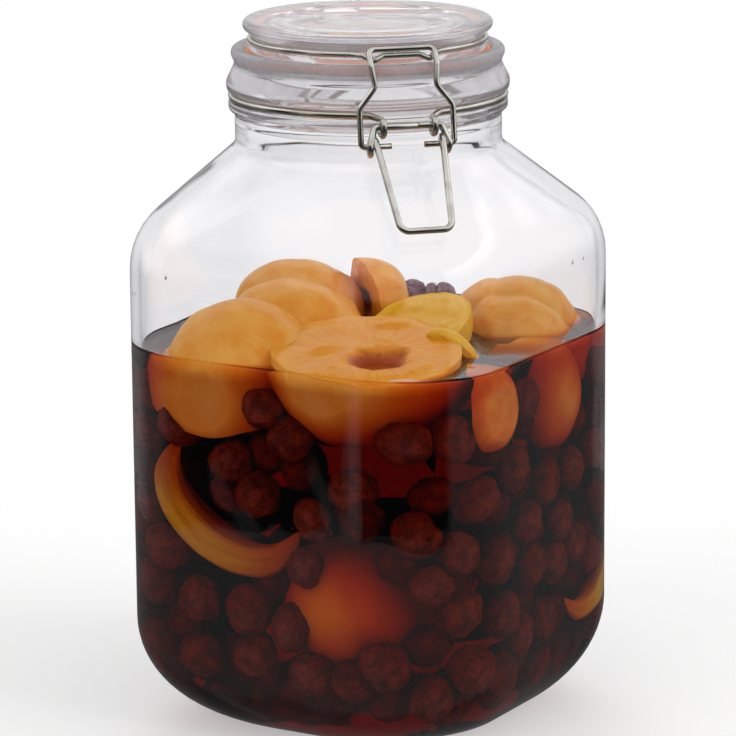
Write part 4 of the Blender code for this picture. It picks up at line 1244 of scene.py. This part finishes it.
# Across, back, height above the syrup, radius, tilt, bearing of the tilt, finish
FLOATING = {
    "peach_pit_up": (-14, -51, 3, 38, 171, 165, PALE_PEACH),
    "peach_left": (-57, -13, -12, 33, 30, -45, PALE_PEACH),
    "peach_middle": (-30, 13, -7, 30, 22, -40, PALE_PEACH),
    "peach_back_left": (-20, 39, 2, 26, 12, 0, PALE_PEACH),
    "peach_back": (7, 31, 9, 19, 80, 95, PALE_PEACH),
    "peach_flesh_up": (18, -12, 5, 24, 160, 120, GOLD_PEACH),
    "peach_right": (62, -3, -8, 21, 35, 60, PALE_PEACH),
    "peach_back_right": (67, 16, -8, 26, 25, 90, PALE_PEACH),
    "peach_side_front": (23, -72, -17, 17, 85, 70, RED_PEACH),
}

# Bearing, height, radius, depth behind the glass, tilt, bearing of the tilt, finish
SUNK = {
    "peach_side_back": (64, 134, 22, 0, 88, 45, PALE_PEACH),
    "peach_low_front": (-20, 58, 28, 10, 85, -15, GOLD_PEACH),
}

# Bearing, height, radius, tilt, bearing of the tilt, finish
SLICES = {
    "peach_low_left": (-60, 110, 40, 150, -135, GREEN_PEACH),
    "peach_low_right": (74, 64, 27, 141, 135, GREEN_PEACH),
}


def on_syrup(x, y, rise):
    """Point given in millimetres from the middle of the syrup's level."""
    return Vector((x, y, rise)) * MM + Vector((0.0, 0.0, SYRUP_LEVEL))


for seed, (node, (x, y, rise, size, tilt, bearing, finish)) in enumerate(FLOATING.items()):
    place = on_syrup(x, y, rise)
    pit = SHALLOW_PIT if finish == GOLD_PEACH else PIT_DEPTH
    peach_half("half_" + node, place, size * MM, lean(tilt, bearing), finish, node, pit, seed)
for seed, (node, (bearing, z, size, depth, tilt, side, finish)) in enumerate(SUNK.items(), 20):
    place = by_the_glass(bearing, (size + depth) * MM - PRESSED, z * FRUIT_RISE)
    bulge = DOME + BULGE_WITH_DEPTH * depth
    peach_half("half_" + node, place, size * MM, lean(tilt, side), finish, node, seed=seed, flat=bulge)


def slice_turn(tilt, side):
    """Turn of a slice that leans towards a bearing, with its tips along that bearing's level."""
    return lean(tilt, side) @ Matrix.Rotation(math.radians(side - 90), 4, "Z")


for seed, (node, (bearing, z, size, tilt, side, finish)) in enumerate(SLICES.items(), 30):
    half_width = size * MM * math.sin(math.radians(SLICE_SPREAD / 2))
    place = by_the_glass(bearing, half_width - PRESSED, z * FRUIT_RISE)
    peach_slice("slice_" + node, place, size * MM, slice_turn(tilt, side), finish, node, seed)

# %% The sliver beside the largest half
SLIVER = Vector((0.0185, -0.0445, SYRUP_LEVEL - 0.0050))
SLIVER_RADIUS = 0.0150
sliver_turn = lean(38.0, 60.0) @ Matrix.Rotation(math.radians(-25.0), 4, "Z")
peach_slice("peach_sliver", SLIVER, SLIVER_RADIUS, sliver_turn, GOLD_PEACH, seed=41)

# %% [markdown]
# ## Cherries
# Cooked cherries are dark, wrinkled and a little out of round, with a dimple where the stalk was.
# They fill the jar below the peaches. Those at the glass lie where the working part has them. More
# lie behind and between them, seeded so that every run gives the same jar, and a few dusty ones
# float at the back.


# %% Cherry finish
def cherry_finish(name, dark, light):
    material, start, exit_node = new_finish(name)
    local = start.layer("local", "Vector")
    cloud = local.clouds(1.8, 3.0)
    folds = local.clouds(7.0, 4.0)
    colour = (cloud * 0.6 + folds * 0.4).step(0.36, 0.68).blend(dark, light)
    bump = folds.bump(0.7, 0.0010)
    skin = {"Base Color": colour, "Roughness": folds.step(0.3, 0.7, 0.30, 0.5), "Normal": bump}
    fruit = start.node("ShaderNodeBsdfPrincipled", inputs={**skin, **wet_inputs(start)})
    join(fruit, exit_node, "Surface")
    return material


DEEP_CHERRY = cherry_finish("deep cherry", (0.050, 0.005, 0.004), (0.15, 0.018, 0.014))
DUSTY_CHERRY = cherry_finish("dusty cherry", (0.12, 0.04, 0.06), (0.30, 0.17, 0.20))


# %% Shape of a cherry
def add_cherry(bm, place, radius, turn, seed, detail):
    """Adds one cherry to a bmesh that has the layer called local."""
    local = bm.verts.layers.float_vector["local"]
    drift = Vector((seed * 2.9, seed * 4.1, seed * 1.3))
    verts = bmesh.ops.create_icosphere(bm, subdivisions=detail, radius=1.0)["verts"]
    for vert in verts:
        ball = vert.co.copy()
        vert[local] = ball + drift
        wrinkle = 0.13 * noise.noise(ball * 1.5 + drift) + 0.05 * noise.noise(ball * 4.5 + drift)
        dimple = 0.25 * math.exp(-((math.hypot(ball.x, ball.y) / 0.26) ** 2)) if ball.z > 0 else 0.0
        vert.co = ball * (1.0 + wrinkle - dimple)
        vert.co.z *= 0.88
    matrix = Matrix.Translation(place) @ turn @ Matrix.Scale(radius, 4)
    bmesh.ops.transform(bm, matrix=matrix, verts=verts)
    for vert in verts:
        vert.co = settled(vert.co)


def new_fruit_bmesh():
    bm = bmesh.new()
    bm.verts.layers.float_vector.new("local")
    return bm


def any_turn(chance):
    """A turn taken from a seeded source of chance."""
    axis = Vector((chance.uniform(-1, 1), chance.uniform(-1, 1), chance.uniform(-1, 1))).normalized()
    return Matrix.Rotation(chance.uniform(0.0, math.tau), 4, axis)


# %% The cherries that the working part has
# Bearing in degrees and height in millimetres, by the letters of the node's name
CHERRIES = {
    "a": (-63, 117),
    "b": (-40, 129),
    "c": (-19, 111),
    "d": (-3, 94),
    "e": (14, 105),
    "f": (30, 113),
    "g": (69, 102),
    "h": (52, 101),
    "i": (21, 77),
    "j": (42, 69),
    "k": (-11, 40),
    "l": (-53, 104),
    "m": (39, 88),
    "n": (24, 54),
    "o": (50, 44),
    "p": (8, 60),
    "q": (-33, 33),
    "r": (-55, 37),
    "s": (-74, 57),
    "t": (12, 36),
    "u": (-90, 59),
    "v": (96, 118),
    "w": (102, 88),
    "x": (122, 126),
    "y": (104, 44),
    "z": (135, 62),
    "ba": (144, 98),
    "bb": (166, 132),
    "bc": (172, 74),
    "bd": (194, 110),
    "be": (206, 52),
    "bf": (216, 88),
    "bg": (226, 132),
    "bh": (242, 66),
    "bi": (250, 106),
}
CHERRY_RADIUS = 0.0100
CHERRY_DEPTH = 0.0012
NEAR_DETAIL = 5

taken = []
chance = random.Random(7)
for seed, (letters, (bearing, z)) in enumerate(CHERRIES.items()):
    place = by_the_glass(bearing, CHERRY_RADIUS + CHERRY_DEPTH, z * FRUIT_RISE)
    taken.append((place, CHERRY_RADIUS))
    bm = new_fruit_bmesh()
    add_cherry(bm, place, CHERRY_RADIUS, any_turn(chance), seed, NEAR_DETAIL)
    node = "cherry_" + letters
    add_piece("fruit_" + node, bm, DEEP_CHERRY, "jar", "cherry_skin", node)

# %% Room that the peaches take
# A half is kept clear by a ball about its belly, a sunken one also by a ball between it and the
# glass, and a slice by a row of small balls. Sizes are shares of the fruit's radius.
BELLY = 0.4
FLOATING_ROOM = 0.85
SUNK_ROOM = 0.80
ROOM_BEFORE = 0.95
SLICE_ARM = 0.81
SLICE_INSET = 0.38
SLICE_HALF = 0.25


def belly(size, tilt, bearing):
    """Way from the middle of a half's cut face to the middle of its flesh."""
    return lean(tilt, bearing).to_3x3() @ Vector((0, 0, BELLY * size * MM))


for x, y, rise, size, tilt, bearing, finish in FLOATING.values():
    centre = on_syrup(x, y, rise)
    taken.append((centre + belly(size, tilt, bearing), FLOATING_ROOM * size * MM))
for bearing, z, size, depth, tilt, side, finish in SUNK.values():
    centre = by_the_glass(bearing, (size + depth) * MM, z * FRUIT_RISE)
    taken.append((centre + belly(size, tilt, side), SUNK_ROOM * size * MM))
    taken.append((by_the_glass(bearing, 0.0, z * FRUIT_RISE), ROOM_BEFORE * size * MM))
for bearing, z, size, tilt, side, finish in SLICES.values():
    centre = by_the_glass(bearing, SLICE_INSET * size * MM, z * FRUIT_RISE)
    for along in map(math.radians, (-60, -30, 0, 30, 60)):
        out = Vector((math.sin(along), 0.0, math.cos(along))) * SLICE_ARM * size * MM
        taken.append((centre + slice_turn(tilt, side).to_3x3() @ out, SLICE_HALF * size * MM))
print("places taken:", len(taken))

# %% The cherries between and behind them
LOOSE_TRIES = 6000
LOOSE_FOOT = 0.024
LOOSE_TOP = SYRUP_LEVEL - 0.014
LOOSE_SIZES = (0.88, 1.14)
LOOSE_SPACING = 0.84
LOOSE_DETAIL = 3
SECOND_LAYER = 0.012
HEEL_ROOM = 0.004
HEEL_LEAN = 0.35

loose = new_fruit_bmesh()
count = 0
for attempt in range(LOOSE_TRIES):
    bearing = chance.uniform(-180.0, 180.0)
    z = chance.uniform(LOOSE_FOOT, LOOSE_TOP)
    radius = CHERRY_RADIUS * chance.uniform(*LOOSE_SIZES)
    low = max(0.0, HEEL_TOP - z + HEEL_ROOM)
    inset = radius + HEEL_LEAN * low + chance.choice((0.0, 0.0, SECOND_LAYER))
    place = by_the_glass(bearing, inset, z)
    if all((place - other).length > LOOSE_SPACING * (radius + reach) for other, reach in taken):
        taken.append((place, radius))
        add_cherry(loose, place, radius, any_turn(chance), 20 + count, LOOSE_DETAIL)
        count += 1
print("loose cherries:", count)
add_piece("loose_cherries", loose, DEEP_CHERRY, "jar", "cherry_skin")

# %% Dusty cherries that float at the back
DUSTY_RADIUS = 0.0085

# Across, back and height above the syrup in millimetres
DUSTY_PLACES = ((30, 50, 0), (43, 41, 1), (36, 60, 1), (17, 58, 0), (47, 55, 0))

floating = new_fruit_bmesh()
for number, (x, y, rise) in enumerate(DUSTY_PLACES):
    add_cherry(floating, on_syrup(x, y, rise), DUSTY_RADIUS, any_turn(chance), 300 + number, NEAR_DETAIL)
add_piece("floating_cherries", floating, DUSTY_CHERRY, "jar", "cherry_skin")

# %% [markdown]
# ## Floor, world and lamps
# The jar stands on white. The floor is a small disc that keeps the jar's soft shadow. The world is
# white where the camera looks at it, nearly white through the glass, and evenly lit for matt
# surfaces. For reflections it is a studio: a long white screen on the right, a narrow bright strip
# on the left, soft light behind and above, and a dark room in front, which give the glass its
# streaks and the wire its dark and light bands. Light that was reflected inside the glass leaves it
# as if it had only passed through, and would lay a grey veil over the syrup, so Glossy Depth tells
# it apart: it too sees the studio and a dark floor.

# %% Floor
FLOOR_RADIUS = 0.42
FLOOR_DROP = 0.0002
FLOOR_GLOW = 0.28
FLOOR_MIRRORED = 0.12


def bounced_share(start):
    """1 for light that has been reflected on its way, else 0."""
    return start.maths("MINIMUM", start.ray("Glossy Depth"), 1.0)


def white_glow(start, strength):
    return start.node("ShaderNodeEmission", inputs={"Color": (1.0, 1.0, 1.0), "Strength": strength})


def floor_finish():
    """Matt paper, lifted a little where it is seen, plain white through glass and dark in mirrors."""
    material, start, exit_node = new_finish("white floor")
    paper = start.place().clouds(300.0, 2.0)
    colour = paper.step(0.0, 1.0).blend((0.80, 0.80, 0.80), (0.82, 0.82, 0.82))
    matt = start.node("ShaderNodeBsdfDiffuse", inputs={"Color": colour})
    lifted = white_glow(start, start.ray("Is Camera Ray") * FLOOR_GLOW)
    both = start.node("ShaderNodeAddShader", inputs={0: matt, 1: lifted})
    glossy = start.ray("Is Glossy Ray")
    through = start.ray("Is Transmission Ray")
    straight = through * (1.0 - bounced_share(start))
    studio_floor = white_glow(start, straight + (1.0 - straight) * FLOOR_MIRRORED)
    mirrored = start.maths("MAXIMUM", glossy, through)
    join(mirrored.mix(both, studio_floor), exit_node, "Surface")
    return material


floor_bm = bmesh.new()
bmesh.ops.create_circle(floor_bm, cap_ends=True, segments=96, radius=FLOOR_RADIUS)
floor_mesh = bpy.data.meshes.new("floor")
floor_bm.to_mesh(floor_mesh)
floor_bm.free()
floor_mesh.materials.append(floor_finish())
floor = bpy.data.objects.new("floor", floor_mesh)
floor.location.z = -FLOOR_DROP
bpy.context.scene.collection.objects.link(floor)
print("floor", 2 * FLOOR_RADIUS, "m across")

# %% Bright panels of the studio
PANEL_EDGE = 0.08

# Bearings from and to, heights from and to, soft edge in degrees, light below and above the horizon
PANELS = {
    "screen": (33.0, 118.0, -0.7, 0.6, 4.0, 0.10, 0.9),
    "strip": (-73.5, -64.0, -0.6, 0.5, 1.5, 0.16, 0.9),
    "behind": (-180.0, -112.0, -0.9, 0.8, 12.0, 0.12, 0.8),
    "behind right": (130.0, 181.0, -0.9, 0.8, 12.0, 0.12, 0.8),
}


def panel(bearing, height, low, high, bottom, top, soft, below, above):
    """Light of a soft-edged panel of the sky between two bearings and two heights."""
    level = bearing.step(low - soft, low) * bearing.step(high, high + soft, 1.0, 0.0)
    level = level * height.step(bottom - PANEL_EDGE, bottom) * height.step(top, top + PANEL_EDGE, 1.0, 0.0)
    return level * height.step(-0.2, 0.1, below, above)


print("panels:", ", ".join(PANELS))

# %% World
AMBIENT = 0.55
DARK_ROOM = 0.012
BACKDROP = -direction(CAMERA_BEARING)


def sky_light(start, strength, colour=(1.0, 1.0, 1.0)):
    return start.node("ShaderNodeBackground", inputs={"Color": colour, "Strength": strength})


world = bpy.data.worlds.new("studio")
bpy.context.scene.world = world
world.use_nodes = True
world.node_tree.nodes.clear()
start = Flow(world.node_tree)
sky = start.node("ShaderNodeTexCoord", output="Generated")
axes = {axis: sky.axis(axis) for axis in "XYZ"}
bearing = start.maths("ARCTAN2", axes["X"], axes["Y"] * -1.0) * (180.0 / math.pi)
height = axes["Z"]
room = DARK_ROOM
for edges in PANELS.values():
    room = room + panel(bearing, height, *edges)
room = room + height.step(0.30, 0.60, 0.0, 0.9)
studio = sky_light(start, room, (1.0, 0.99, 1.0))

# Straight through the glass the backdrop is white ahead and greyer to the sides and overhead
ahead = axes["X"] * BACKDROP.x + axes["Y"] * BACKDROP.y
facing = start.maths("ABSOLUTE", ahead)
backdrop = facing.step(0.10, 0.80, 0.65, 1.0) * height.step(0.20, 0.80, 1.0, 0.75)

# Light reflected inside the glass also meets white above the horizon, far below it and ahead
lit = height.step(-0.12, 0.08, 0.0, 0.85) + height.step(-0.50, -0.33, 0.85, 0.0)
lit = start.maths("MAXIMUM", lit, ahead.step(0.45, 0.90, 0.0, 0.85))
bounced = bounced_share(start)
haze = backdrop * (1.0 - bounced) + start.maths("MAXIMUM", lit, room) * bounced
seen_through = sky_light(start, haze, (0.98, 0.975, 1.0))

# Matt surfaces get an even light, mirrors the studio, glass the backdrop and the camera plain white
light = start.ray("Is Glossy Ray").mix(sky_light(start, AMBIENT), studio)
light = start.ray("Is Transmission Ray").mix(light, seen_through)
light = start.ray("Is Camera Ray").mix(light, sky_light(start, 1.0))
join(light, world.node_tree.nodes.new("ShaderNodeOutputWorld"), "Surface")
print("world of", len(world.node_tree.nodes), "nodes")

# %% Lamps
LAMP_SIZE = 1.0
LAMP_TARGET = Vector((0.0, 0.0, 0.13))


def add_lamp(name, place, power):
    """A square soft lamp that looks at the middle of the jar and isn't mirrored in it."""
    light = bpy.data.lights.new(name, "AREA")
    light.size = LAMP_SIZE
    light.energy = power
    lamp = bpy.data.objects.new(name, light)
    bpy.context.scene.collection.objects.link(lamp)
    lamp.location = place
    lamp.rotation_euler = (Vector(place) - LAMP_TARGET).to_track_quat("Z", "Y").to_euler()
    lamp.visible_glossy = False
    lamp.visible_transmission = False
    lamp.visible_camera = False
    print("lamp", name, power, "W")


add_lamp("key", (1.1, -0.9, 1.1), 9.0)
add_lamp("fill", (-1.2, -0.7, 0.8), 4.0)
add_lamp("back", (0.2, 1.3, 1.0), 6.0)
